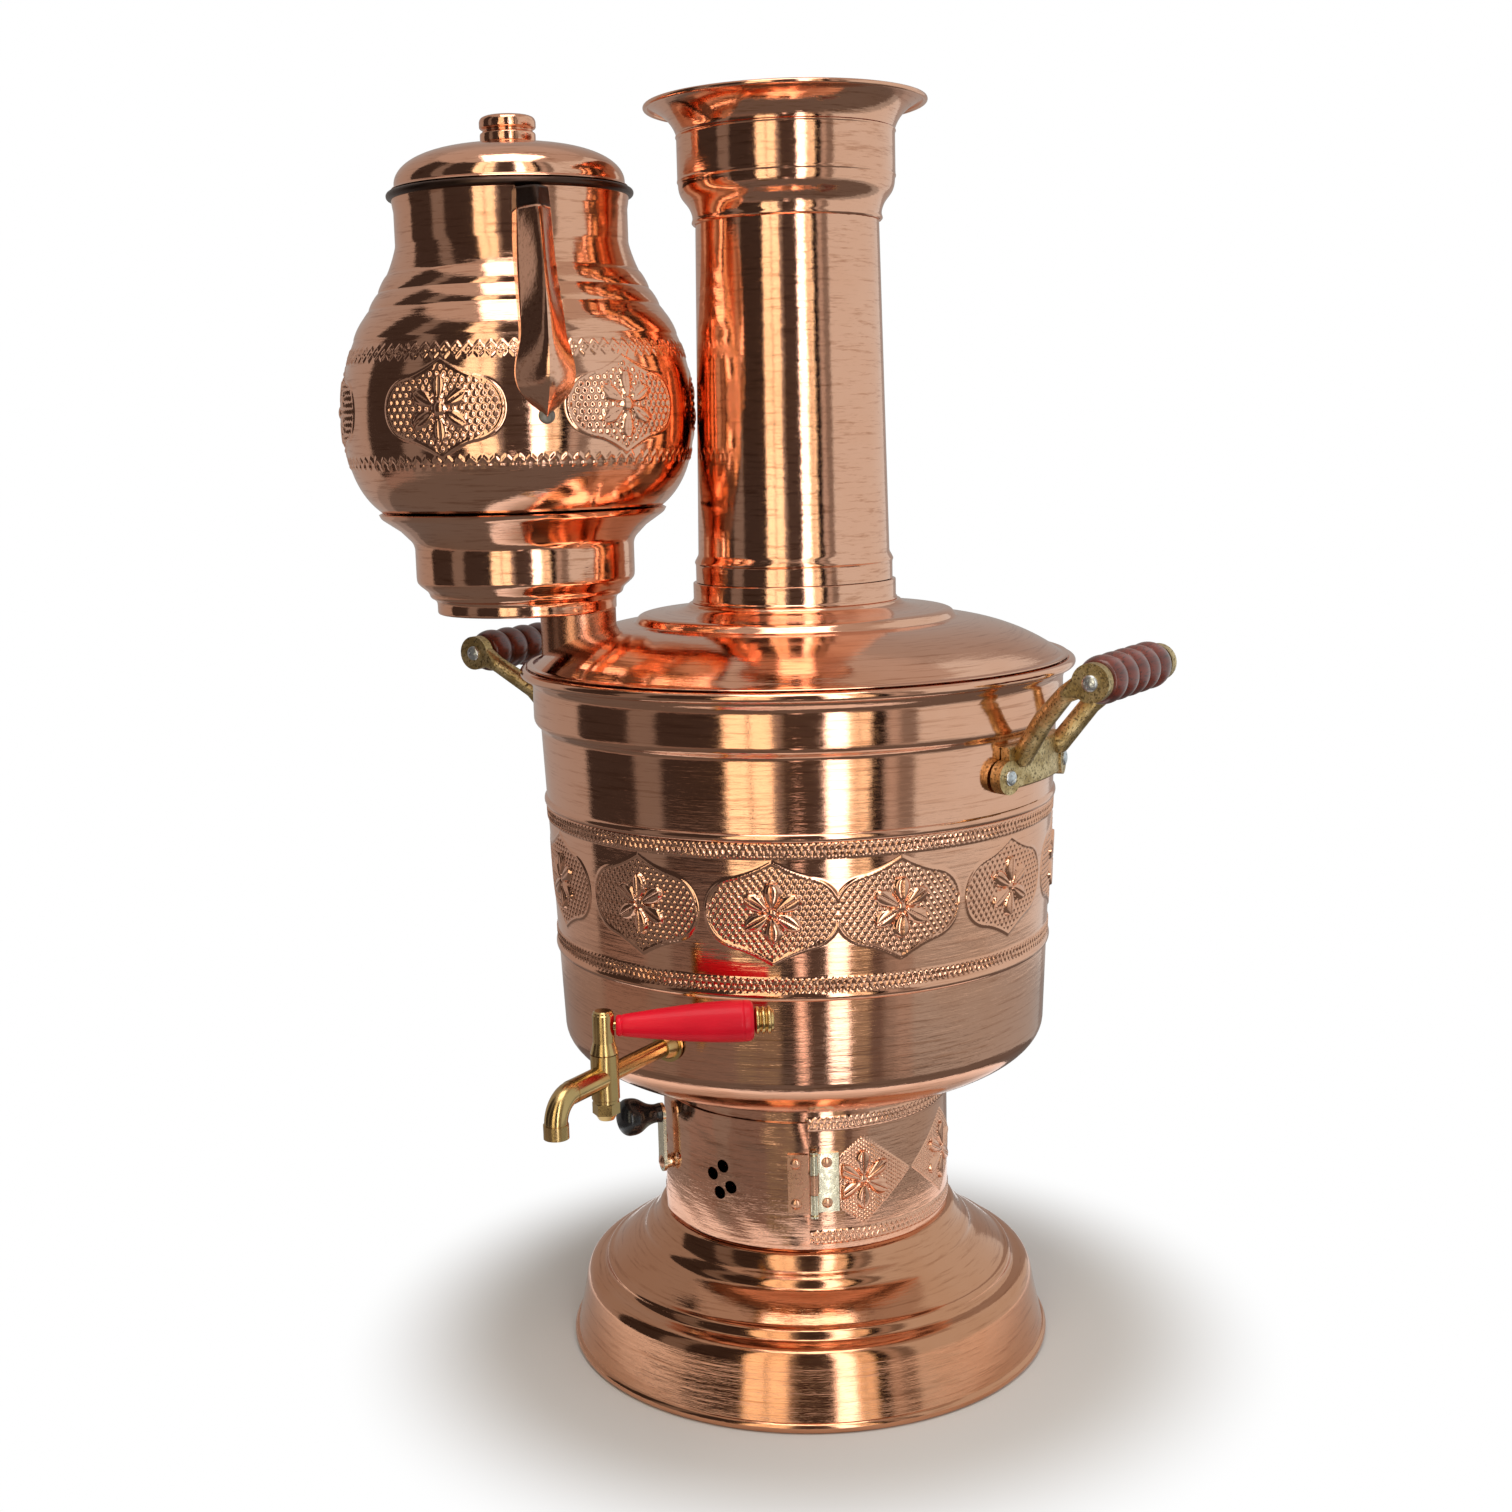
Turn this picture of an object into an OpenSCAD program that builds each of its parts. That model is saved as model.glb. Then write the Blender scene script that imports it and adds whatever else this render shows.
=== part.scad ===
// Charcoal samovar with a side stand and its teapot, spun from copper sheet.
// Millimetres, +Z up. The origin is on the floor under the body's axis.
// The tap points towards -Y. Values ending in _az are angles about the body's
// axis, measured from -Y towards +X.

/* [Body] */
// Thickness of the copper sheet
wall = 1; // [0.8:0.1:1.3]
// Radius of the foot over its rolled edge
foot_r = 112; // [104:0.5:118]
// Height of the foot
foot_h = 63; // [58:0.5:72]
// Radius of the rolled edge under the foot
foot_bead_r = 2.5; // [2:0.1:3]
// Outer radius of the neck that holds the fire door
neck_r = 66.3; // [62:0.1:70]
// Height of the neck
neck_h = 64; // [60:0.5:72]
// Radius of the tank wall at its bottom
tank_low_r = 110.5; // [106:0.5:112]
// Radius of the tank wall under the top band
tank_high_r = 116.4; // [114:0.1:117.5]
// Radius of the top band of the tank
band_r = 119.5; // [119:0.1:121]
// Radius of the tank over its rolled rim
rim_r = 125; // [124:0.1:128]
// Radius of the rolled rim's wire
rim_bead_r = 2.2; // [1.8:0.1:2.4]
// Height of the tank up to the middle of its rolled rim
tank_h = 190; // [181:0.5:220]
// Height of the lower bead above the tank's bottom
low_bead_z = 65.5; // [59:0.5:70]
// Drop from the rolled rim to the upper bead
high_bead_drop = 58; // [55.5:0.5:61]

/* [Fire] */
// Outer radius of the fire tube at its bottom
fire_r = 52.8; // [50:0.1:54]
// Outer radius of the fire tube inside the chimney
flue_r = 41.6; // [40:0.1:42]
// Height of the wide part of the fire tube
fire_h = 56.5; // [48:0.5:65]
// Length of the fire tube inside the chimney
flue_overlap = 20; // [15:1:24]
// Thickness of the fire grate
grate_t = 3; // [2:0.5:5]
// Width of a slot in the fire grate
grate_slot = 4; // [3:0.5:5]

/* [Lid and chimney] */
// Height from the tank's rim to the top of the lid's collar
lid_h = 37.3; // [36:0.1:42]
// Height of the lid's collar
collar_h = 9; // [7:0.5:11]
// Outer radius of the lid's collar
collar_r = 45.6; // [45.2:0.1:47]
// Depth of the lid's skirt inside the tank
skirt_h = 8; // [6:0.5:12]
// Radius of the chimney at its bottom edge
chimney_low_r = 44.2; // [44:0.1:44.6]
// Radius of the chimney under its crown
chimney_high_r = 40.2; // [40:0.1:41]
// Height of the chimney
chimney_h = 206.7; // [195:0.5:240]
// Height of the chimney's crown
crown_h = 51; // [46:0.5:56]
// Radius of the band round the crown
crown_r = 47.6; // [46:0.1:50]
// Radius of the chimney's mouth
mouth_r = 61.8; // [58:0.1:64]

/* [Teapot stand] */
// Direction of the teapot from the body's axis
pot_az = -60; // [-64:1:-56]
// Distance of the teapot's axis from the body's axis
pot_reach = 121.5; // [121.5:0.1:124]
// Distance of the steam pipe's axis from the body's axis
pipe_reach = 98.5; // [98:0.1:99]
// Outer radius of the steam pipe
pipe_r = 17.2; // [16.8:0.1:17.4]
// Height of the stand's bottom over the tank's rim
stand_z = 26; // [25:0.1:32]
// Height of the stand
stand_h = 45.3; // [42:0.1:50]
// Radius of the stand's foot
stand_foot_r = 40.5; // [40.3:0.1:43]
// Radius of the stand's band
stand_r = 49.3; // [48.5:0.1:49.5]
// Radius of the stand's flared rim
stand_rim_r = 64.5; // [64:0.1:65]

/* [Teapot] */
// Largest radius of the teapot
pot_r = 78; // [76:0.1:78]
// Radius of the teapot's neck
pot_neck_r = 51.3; // [50:0.1:53]
// Height of the teapot up to its rim
pot_h = 146.5; // [142:0.1:152]
// Height of the teapot's widest place
belly_h = 49; // [46:0.1:52]
// Radius of the teapot's rolled rim
pot_bead_r = 1.8; // [1.5:0.1:2.1]
// Height of the dome of the teapot's lid
dome_h = 19; // [16:0.1:22]
// Radius of the teapot lid's knob
knob_r = 12.4; // [11:0.1:14]
// Height of the teapot lid's knob
knob_h = 12.4; // [11:0.1:15]
// Direction of the spout from the teapot's axis
spout_az = 46.5; // [40:0.5:50]
// Half the width of the spout
spout_w = 10; // [8:0.1:11]
// Radius of the teapot handle's tube
handle_tube_r = 4.5; // [4:0.1:5.5]
// Radius of the teapot handle's bow
handle_bow_r = 48; // [47:0.5:52]

/* [Tap] */
// Height of the tap's pipe above the tank's bottom
tap_z = 41; // [38:0.5:46]
// Distance of the plug's axis from the body's axis
plug_reach = 157; // [154:0.5:162]
// Radius of the tapered plug inside the barrel
plug_r = 3.75; // [3.5:0.05:4]
// Running clearance round the plug
plug_fit = 0.05; // [0.03:0.01:0.08]
// Outer radius of the barrel
barrel_r = 5.7; // [5.2:0.1:6.5]
// Height of the barrel
barrel_h = 18.4; // [16:0.1:20]
// Radius of the water way
water_r = 2.4; // [2:0.1:2.8]
// Radius of the pipe between the tank and the barrel
inlet_r = 3.7; // [3.5:0.1:4.5]
// Radius of the spout pipe
outlet_r = 4.8; // [4.4:0.1:5.6]
// Distance from the barrel to the bend's start
spout_run = 23; // [20:0.5:30]
// Radius of the spout's bend
bend_r = 10; // [8:0.5:12]
// Length of the spout below its bend
spout_drop = 5.3; // [3:0.1:12]
// Radius of the shank that passes the tank wall
shank_r = 5; // [4.5:0.1:5.5]
// Direction of the closed lever, from +X towards +Y
lever_angle = 35; // [20:1:38]
// Length of the red grip
lever_grip_l = 55; // [45:0.5:58]
// Radius of the grip at the plug
lever_thin_r = 4.3; // [4:0.1:5]
// Radius of the grip at its far end
lever_thick_r = 8.4; // [7:0.1:8.8]

/* [Fire door] */
// Edge of the door at the latch
door_low_az = -43.5; // [-46:0.5:-43.5]
// Edge of the door at the hinge
door_high_az = 31.3; // [31:0.1:31.3]
// Height of the door's bottom over the foot
door_lift = 2; // [1.5:0.1:3]
// Gap between the door's top and the tank
door_top_gap = 5; // [3:0.1:7]
// Width by which the door covers the edge of its opening
door_lap = 3; // [2:0.1:3]
// Radius of a vent hole
vent_r = 3; // [1.8:0.1:3.3]
// Direction of the hinge pin
hinge_az = 33.2; // [33.2:0.1:34]
// Radius of a hinge knuckle
knuckle_r = 1.9; // [1.8:0.1:2]
// Radius of the hinge pin
pin_r = 0.9; // [0.8:0.05:1]
// Height of the hinge
hinge_h = 27; // [24:0.5:32]
// Width of the hinge's leaves, as an angle
leaf_angle = 7.6; // [6:0.1:9]
// Radius of a rivet's head
rivet_r = 2.4; // [2:0.1:2.8]
// Direction of the latch's spindle
latch_az = -37.2; // [-37.5:0.1:-37]
// Length of the latch's lever between spindle and knob
latch_l = 23.5; // [20:0.1:25]
// Largest radius of the black knob
latch_knob_r = 8.5; // [7:0.1:9]
// Length of the black knob
latch_knob_l = 20.5; // [17:0.5:24]

/* [Side handles] */
// Drop from the rolled rim to the handles' screws
handle_drop = 40.5; // [39.5:0.5:42.5]
// Angle between a handle's middle and its screws
handle_half_az = 13.3; // [12:0.1:15]
// Distance of the grips' axis from the body's axis
grip_reach = 157; // [152:0.5:166]
// Height of the grips' axis above the handles' screws
grip_rise = 42.5; // [38:0.5:46]
// Half the length of a grip
grip_half_l = 31; // [28:0.5:34]
// Largest radius of a grip
grip_r = 10; // [8:0.1:11]
// Thickness of the cast strap on the tank
strap_t = 4.3; // [3.5:0.1:6]
// Radius of a boss
boss_r = 8; // [7:0.1:9]
// Thickness of a boss
boss_t = 5; // [4:0.1:6]

/* [Hidden] */
$fn = 96;

seat = 0.3;                              // gap under a piece that lifts off
fine = 0.05;                             // gap of a piece that is pushed in
copper = [0.85, 0.52, 0.38];
brass = [0.78, 0.62, 0.30];
zinc = [0.78, 0.79, 0.78];
rosewood = [0.35, 0.08, 0.06];

tank_z = foot_h + neck_h;                // underside of the tank
rim_z = tank_z + tank_h;                 // middle of the rolled rim
lid_z = rim_z + rim_bead_r + seat;       // underside of the lid's edge
lid_top = rim_z + lid_h;                 // top of the lid's collar
land_z = lid_top - collar_h;             // ledge of the lid under its collar
chimney_z = lid_top + seat;              // bottom edge of the chimney
chimney_top = chimney_z + chimney_h;
crown_z = chimney_top - crown_h;
shoulder_h = 27;                         // height of the tank's rounded bottom
step_z = tank_h - 26.5;                  // step under the top band
high_bead_z = tank_h - high_bead_drop;
handle_z = tank_h - handle_drop;
pot_z = rim_z + stand_z + stand_h - 8.8; // underside of the teapot
pot_dir = [sin(pot_az), -cos(pot_az), 0];
tap_mid_z = tank_z + tap_z;
handle_mid_z = tank_z + handle_z;
hinge_z = foot_h + 18;                   // bottom of the hinge
latch_z = foot_h + 27;                   // height of the latch's spindle
door_in = neck_r + seat;                 // inner radius of the door
door_out = door_in + wall;
hinge_reach = door_out + 1.3;            // distance of the hinge pin from the axis
plate_in = door_out + 2.8;               // back of the latch's lever
plate_t = 1.4;

// ---------- shapes that several pieces share ----------

function unit(v) = v / norm(v);
function left_of(a, b) = let (d = unit(b - a)) [-d.y, d.x];
function mix(a, b, t) = a + (b - a) * t;

// A path moved to its left by w, with its corners kept sharp
function inset(path, w) =
    let (last = len(path) - 1)
    [for (i = [0:last])
        let (n = left_of(path[max(i - 1, 0)], path[max(i, 1)]),
             m = unit(n + left_of(path[min(i, last - 1)], path[min(i + 1, last)])))
        path[i] + m * w / max(0.6, m * n)];

// A smooth curve from a to d, pulled towards b and c
function curve(a, b, c, d, n = 8) =
    [for (i = [0:n]) let (t = i / n, s = 1 - t)
        s * s * s * a + 3 * s * s * t * b + 3 * s * t * t * c + t * t * t * d];

// A path without repeated points
function clean(path) =
    [for (i = [0:len(path) - 1]) if (i == 0 || norm(path[i] - path[i - 1]) > 0.01) path[i]];

function reversed(path) = [for (i = [len(path) - 1:-1:0]) path[i]];

// The section of a sheet with its outer face along the path
module sheet_section(path, w = wall) {
    outer = clean(path);
    polygon(concat(outer, reversed(inset(outer, w))));
}

module sheet(path, w = wall) rotate_extrude() sheet_section(path, w);

// Puts +X along the direction az, with +Y towards larger angles
module facing(az, z = 0) rotate([0, 0, az - 90]) translate([0, 0, z]) children();

// A part of a ring between two directions
module sector(r0, r1, z0, z1, az0, az1)
    rotate([0, 0, az0 - 90]) rotate_extrude(angle = az1 - az0)
        translate([r0, z0]) square([r1 - r0, z1 - z0]);

// A bar of radius r along +X from x0 to x1
module bar(r, x0, x1, r1 = -1, fn = 48)
    translate([x0, 0, 0]) rotate([0, 90, 0])
        cylinder(r1 = r, r2 = r1 < 0 ? r : r1, h = x1 - x0, $fn = fn);

// A domed head along +X, standing on x0
module head(r, h, x0) {
    ball = (r * r + h * h) / (2 * h);
    translate([x0, 0, 0]) rotate([0, 90, 0]) rotate_extrude($fn = 48)
        intersection() {
            translate([0, h - ball]) circle(ball, $fn = 96);
            square([r, h]);
        }
}

// A rivet along +X that holds the bent sheets between x0 and x1
module rivet(x0, x1, r = rivet_r) {
    head(r, r * 0.45, x1);
    bar(r * 0.5, x0 - fine - 0.01, x1 + 0.01);
    mirror([1, 0, 0]) head(r * 0.8, r * 0.3, fine - x0);
}

// ---------- foot and neck ----------

// A point of the foot: u runs from the neck out to the foot's edge, v from floor to top
function foot_point(u, v) = [mix(neck_r, foot_r, u), foot_h * v];

foot_path = concat(
    curve(foot_point(0.969, 0.054), foot_point(0.917, 0.198),
          foot_point(0.882, 0.302), foot_point(0.849, 0.468)),
    [foot_point(0.812, 0.52), foot_point(0.759, 0.54), foot_point(0.683, 0.549),
     foot_point(0.654, 0.56), foot_point(0.641, 0.58), foot_point(0.635, 0.608),
     foot_point(0.61, 0.622), foot_point(0.573, 0.629)],
    curve(foot_point(0.53, 0.654), foot_point(0.442, 0.705),
          foot_point(0.365, 0.743), foot_point(0.267, 0.781)),
    [foot_point(0.238, 0.8), foot_point(0.221, 0.832), foot_point(0.195, 0.854)],
    curve(foot_point(0.147, 0.883), foot_point(0.114, 0.914),
          foot_point(0.085, 0.952), foot_point(0.063, 0.981), 5),
    [foot_point(0.037, 0.994), foot_point(0.004, 1), [neck_r - 3, foot_h]]);

module foot_shell() color(copper) rotate_extrude() {
    sheet_section(foot_path);
    intersection() {
        translate([foot_r - foot_bead_r, foot_bead_r * 0.9]) circle(foot_bead_r);
        square([foot_r, 2 * foot_bead_r]);
    }
}

module ash_plate() color(copper)
    translate([0, 0, foot_h]) cylinder(r = neck_r - wall - fine, h = wall);

// The opening behind the fire door
module door_opening() {
    lap = door_lap * 57.3 / neck_r;
    sector(neck_r - 3 * wall, neck_r + wall, foot_h + door_lift + door_lap,
           tank_z - door_top_gap - door_lap / 2,
           door_low_az + lap, door_high_az - lap / 2);
}

module neck_shell() color(copper) difference() {
    translate([0, 0, foot_h]) cylinder(r = neck_r, h = neck_h);
    translate([0, 0, foot_h - 1]) cylinder(r = neck_r - wall, h = neck_h + 2);
    door_opening();
    neck_leaf_rivet_places() bar(rivet_r * 0.5 + fine, neck_r - 3 * wall, neck_r + wall);
}

// ---------- tank and fire ----------

// Radius of the tank wall at a height above the tank's bottom
function tank_wall_r(z) =
    mix(tank_low_r, tank_high_r, (z - shoulder_h) / (step_z - shoulder_h));

// The tank is a spun bowl and a rolled wall that meet in the lower bead
tank_bead_r = 2;
seam_z = low_bead_z - tank_bead_r - fine;
bowl_path = concat(
    [[fire_r + fine, tank_z]],
    curve([neck_r + 0.7, tank_z], [neck_r + 18.7, tank_z + 6.5],
          [tank_low_r - 1, tank_z + 12.5], [tank_low_r, tank_z + shoulder_h], 10),
    [[tank_wall_r(seam_z), tank_z + seam_z]]);
tank_path = concat(
    [[tank_wall_r(low_bead_z), tank_z + low_bead_z]],
    curve([tank_high_r, tank_z + step_z], [tank_high_r, tank_z + step_z + 3],
          [band_r, tank_z + step_z + 2.5], [band_r, tank_z + step_z + 6.5], 6),
    curve([band_r, rim_z - 7.5], [band_r, rim_z - 4],
          [rim_r - rim_bead_r - 1, rim_z - 4.5], [rim_r - rim_bead_r - 0.5, rim_z], 6));

module tank_bead(z)
    translate([tank_wall_r(z) - 0.8, tank_z + z]) circle(tank_bead_r, $fn = 48);

module tank_bowl() color(copper) difference() {
    sheet(bowl_path);
    facing(0, tap_mid_z) bar(shank_r + fine, tank_low_r - 20, tank_low_r + 20);
}

module tank_shell() color(copper) difference() {
    rotate_extrude() {
        sheet_section(tank_path);
        translate([rim_r - rim_bead_r, rim_z]) circle(rim_bead_r, $fn = 48);
        tank_bead(low_bead_z);
        tank_bead(high_bead_z);
    }
    for (side = [-1, 1], half = [-1, 1])
        facing(90 * side + half * handle_half_az, handle_mid_z)
            bar(screw_r + fine, tank_high_r - 20, tank_high_r + 20);
}

module fire_tube() color(copper) rotate_extrude() {
    sheet_section([[fire_r - 3.5, tank_z], [fire_r, tank_z], [fire_r, tank_z + fire_h],
                   [flue_r, tank_z + fire_h + 50], [flue_r, chimney_z + flue_overlap]]);
    translate([fire_r - wall / 2, tank_z + wall]) square([8, wall]);
}

module fire_grate() color([0.25, 0.24, 0.24]) difference() {
    r = fire_r - wall - seat;
    translate([0, 0, tank_z + wall]) cylinder(r = r, h = grate_t);
    for (i = [-4:4]) {
        half = sqrt((r - 7) * (r - 7) - i * i * 100);
        translate([i * 10 - grate_slot / 2, -half, tank_z]) cube([grate_slot, 2 * half, 20]);
    }
}

// ---------- fire door, hinge and latch ----------

door_z0 = foot_h + door_lift;
door_z1 = tank_z - door_top_gap;
rivet_rise = [hinge_h / 2 - 9.3, hinge_h / 2 + 9.3];
door_rivet_az = hinge_az - leaf_angle + 0.9;
neck_rivet_az = hinge_az + 5;

module door_leaf_rivet_places()
    for (z = rivet_rise) facing(door_rivet_az, hinge_z + z) children();
module neck_leaf_rivet_places()
    for (z = rivet_rise) facing(neck_rivet_az, hinge_z + z) children();

// Vent holes stand in a leaning square: sideways and upward places from its middle
vents = [[1.1, 6.6], [-4.8, 2], [5, -2.5], [-1.1, -6.2]];
vent_az = mix(door_low_az, door_high_az, 0.53);

module fire_door() color(copper) difference() {
    sector(door_in, door_out, door_z0, door_z1, door_low_az, door_high_az);
    for (v = vents)
        facing(vent_az, foot_h + 29 + v.y) translate([0, v.x, 0])
            bar(vent_r, door_in - 5, door_out + 5);
    facing(latch_az, latch_z) bar(spindle_r + fine, door_in - 5, door_out + 5);
    facing(latch_az + 7.5, latch_z + 5) bar(rivet_r * 0.35 + fine, door_in - 5, door_out + 5);
    door_leaf_rivet_places() bar(rivet_r * 0.5 + fine, door_in - 5, door_out + 5);
}

leaf_t = 0.8;
knuckle_gap = 0.3;
knuckle_h = (hinge_h - 2 * knuckle_gap) / 3;
pin_place = [hinge_reach * sin(hinge_az), -hinge_reach * cos(hinge_az), 0];

// Knuckle number i of three, counted from the bottom
module knuckle(i, r = knuckle_r)
    translate(pin_place + [0, 0, hinge_z + i * (knuckle_h + knuckle_gap)])
        cylinder(r = r, h = knuckle_h, $fn = 48);
module knuckle_band(i, r0, r1, az0, az1)
    sector(r0, r1, hinge_z + i * (knuckle_h + knuckle_gap),
           hinge_z + i * (knuckle_h + knuckle_gap) + knuckle_h, az0, az1);
module pin_hole()
    translate(pin_place + [0, 0, hinge_z - 5])
        cylinder(r = pin_r + fine, h = hinge_h + 10, $fn = 48);

module door_leaf() color(copper) difference() {
    union() {
        sector(door_out, door_out + leaf_t, hinge_z, hinge_z + hinge_h,
               hinge_az - 2 - leaf_angle, door_high_az - 0.1);
        knuckle_band(1, door_out + 0.1, door_out + leaf_t - 0.1, door_high_az - 1.5,
                     hinge_az - 0.3);
        knuckle(1);
    }
    door_leaf_rivet_places() bar(rivet_r * 0.5 + fine, door_in - 5, door_out + 5);
    pin_hole();
}

module neck_leaf() color(zinc) difference() {
    union() {
        sector(neck_r, neck_r + leaf_t, hinge_z, hinge_z + hinge_h,
               hinge_az + 2, hinge_az + 2 + leaf_angle);
        for (i = [0, 2]) {
            knuckle_band(i, neck_r, door_out, hinge_az, hinge_az + 2.5);
            knuckle(i);
        }
    }
    neck_leaf_rivet_places() bar(rivet_r * 0.5 + fine, neck_r - 3, neck_r + 3);
    pin_hole();
}

module hinge_pin() color(zinc)
    translate(pin_place + [0, 0, hinge_z - 0.8]) {
        cylinder(r = pin_r, h = hinge_h + 1.6, $fn = 48);
        translate([0, 0, -0.8]) cylinder(r = knuckle_r, h = 0.8, $fn = 48);
        translate([0, 0, hinge_h + 1.6]) cylinder(r = knuckle_r, h = 0.8, $fn = 48);
    }

module door_leaf_rivets() color(copper)
    door_leaf_rivet_places() rivet(door_in, door_out + leaf_t);
module neck_leaf_rivets() color(copper)
    neck_leaf_rivet_places() rivet(neck_r - wall, neck_r + leaf_t);

spindle_r = 2;
plate_w = 9;
plate_waist = plate_w - 0.8;   // the sides come in a little between the two round ends

module latch_lever() color(brass) facing(latch_az, latch_z) {
    bar(spindle_r, door_in - 5.4, plate_in + plate_t);
    bar(3.4, door_out + seat, plate_in);
    bar(2.6, door_in - 4, door_in - seat);
    difference() {
        translate([plate_in, 0, 0]) rotate([90, 0, 90]) linear_extrude(plate_t) {
            circle(plate_w / 2, $fn = 48);
            translate([0, latch_l]) circle(plate_w / 2, $fn = 48);
            translate([-plate_waist / 2, 0]) square([plate_waist, latch_l]);
        }
        translate([0, 0, latch_l]) bar(1.5 + fine, plate_in - 1, plate_in + 3);
    }
    translate([door_in - 5.4, 0, 0]) rotate([90, 0, 90]) linear_extrude(plate_t) {
        circle(2.6, $fn = 48);
        translate([-2.3, -13]) square([4.6, 13]);
    }
}

module latch_rivet() color(copper)
    facing(latch_az, latch_z) head(rivet_r + 0.6, 1.3, plate_in + plate_t);

module latch_stop() color(copper)
    facing(latch_az + 7.5, latch_z + 5) rivet(door_in, door_out, rivet_r * 0.7);

module latch_knob() color([0.05, 0.05, 0.06]) facing(latch_az, latch_z + latch_l) {
    x0 = plate_in + plate_t;
    translate([x0, 0, 0]) rotate([0, 90, 0]) rotate_extrude($fn = 64)
        polygon(concat([[0, 0], [4.6, 0], [4.2, 2.5]],
            curve([4.4, 4], [5.5, 9], [latch_knob_r, 9], [latch_knob_r, latch_knob_l - 6]),
            curve([latch_knob_r, latch_knob_l - 5.5], [latch_knob_r, latch_knob_l - 2],
                  [latch_knob_r * 0.6, latch_knob_l], [0, latch_knob_l])));
    bar(1.5, x0 - plate_t - 0.2, x0 + 0.1);
    bar(2.6, x0 - plate_t - 1.2, x0 - plate_t);
}

// ---------- tap ----------

plug_hole_r = plug_r + plug_fit;
bend_x = plug_reach + spout_run;
tap_wall_x = tank_wall_r(tap_z);         // outside of the tank at the tap

module tap_body() color(brass) facing(0, tap_mid_z) difference() {
    union() {
        bar(shank_r, tap_wall_x - 9, tap_wall_x + 2);
        bar(shank_r + 0.8, tap_wall_x + 1.6, tap_wall_x + 6.5, inlet_r + 0.6);
        bar(inlet_r, tap_wall_x + 6, plug_reach);
        bar(outlet_r, plug_reach, bend_x);
        translate([plug_reach, 0, -barrel_h / 2]) cylinder(r = barrel_r, h = barrel_h, $fn = 64);
        spout_bend(outlet_r - 0.15);
        translate([bend_x + bend_r, 0, -bend_r - spout_drop])
            cylinder(r = outlet_r + 0.25, h = spout_drop + 0.3, $fn = 48);
    }
    bar(water_r, tap_wall_x - 10, bend_x + 0.3);
    translate([plug_reach, 0, -barrel_h]) cylinder(r = plug_hole_r, h = 2 * barrel_h, $fn = 64);
    spout_bend(water_r + 0.2);
    translate([bend_x + bend_r, 0, -bend_r - spout_drop - 1])
        cylinder(r = water_r + 0.4, h = spout_drop + 1.3, $fn = 48);
}

// The quarter bend of the tap's spout, r from its middle line
module spout_bend(r) translate([bend_x, 0, -bend_r]) rotate([90, 0, 0])
    rotate_extrude(angle = 90) translate([bend_r, 0]) circle(r, $fn = 48);

module tap_ring(r0, r1, x0, x1) facing(0, tap_mid_z) difference() {
    bar(r1, x0, x1);
    bar(r0, x0 - 1, x1 + 1);
}

module tap_washer() color(brass)
    tap_ring(shank_r + fine, shank_r + 2.2, tap_wall_x + 0.4, tap_wall_x + 1.5);
module tap_seal() color([0.15, 0.15, 0.15])
    tap_ring(shank_r + fine, shank_r + 2.8, tap_wall_x - wall - 1.9, tap_wall_x - wall - 0.4);
module tap_lock_nut() color(brass) facing(0, tap_mid_z) difference() {
    bar(shank_r + 4, tap_wall_x - wall - 6, tap_wall_x - wall - 2, fn = 6);
    bar(shank_r + fine, tap_wall_x - 15, tap_wall_x);
}

plug_cap_h = 12.8;
plug_cap_r = 4.4;
plug_cone_h = 4.6;
plug_top = barrel_h / 2 + 0.4;           // underside of the plug's cone
lever_z = plug_top + plug_cone_h + plug_cap_h / 2;
tail_r = 1.9;
stem_r = 2;
grip_x0 = plug_cap_r + 0.6;              // start of the red grip on its stem
ferrule_l = 8;

// Puts the tap's own frame at the plug: +X outward, +Y to the right
module at_plug() facing(0, tap_mid_z) translate([plug_reach, 0, 0]) children();
// Puts +X along the closed lever
module along_lever() at_plug() translate([0, 0, lever_z])
    rotate([0, 0, 90 + lever_angle]) children();

module tap_plug() color(brass) difference() {
    at_plug() union() {
        translate([0, 0, -barrel_h / 2 - 0.6])
            cylinder(r = plug_r, h = barrel_h + 1.2, $fn = 64);
        translate([0, 0, plug_top])
            cylinder(r1 = barrel_r, r2 = plug_cap_r, h = plug_cone_h, $fn = 64);
        translate([0, 0, plug_top + plug_cone_h - 0.01]) rotate_extrude($fn = 64)
            polygon([[0, 0], [plug_cap_r, 0], [plug_cap_r, plug_cap_h - 1.6],
                     [plug_cap_r - 0.4, plug_cap_h - 1.2], [plug_cap_r - 0.4, plug_cap_h - 0.5],
                     [plug_cap_r - 1.1, plug_cap_h], [0, plug_cap_h]]);
        translate([0, 0, -barrel_h / 2 - 6.4]) cylinder(r = tail_r, h = 8, $fn = 48);
    }
    at_plug() translate([0, -10, 0]) rotate([-90, 0, 0])
        cylinder(r = water_r, h = 20, $fn = 48);
    along_lever() bar(stem_r + fine, 0, plug_cap_r + 5);
}

module tap_plug_washer() color(brass) at_plug() difference() {
    translate([0, 0, -barrel_h / 2 - 1.5]) cylinder(r = barrel_r - 0.4, h = 1.2, $fn = 64);
    translate([0, 0, -barrel_h]) cylinder(r = plug_r + fine, h = 20, $fn = 64);
}

module tap_plug_nut() color(brass) at_plug() difference() {
    translate([0, 0, -barrel_h / 2 - 1.7]) mirror([0, 0, 1]) {
        cylinder(r = 5.6, h = 4.6, $fn = 6);
        translate([0, 0, 4.5]) cylinder(r1 = 4.7, r2 = 3.2, h = 2.6, $fn = 48);
    }
    translate([0, 0, -barrel_h / 2 - 6.5]) cylinder(r = tail_r + fine, h = 8, $fn = 48);
}

module lever_stem() color(brass) along_lever()
    bar(stem_r, 0.1, grip_x0 + lever_grip_l + ferrule_l - 1);

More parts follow.
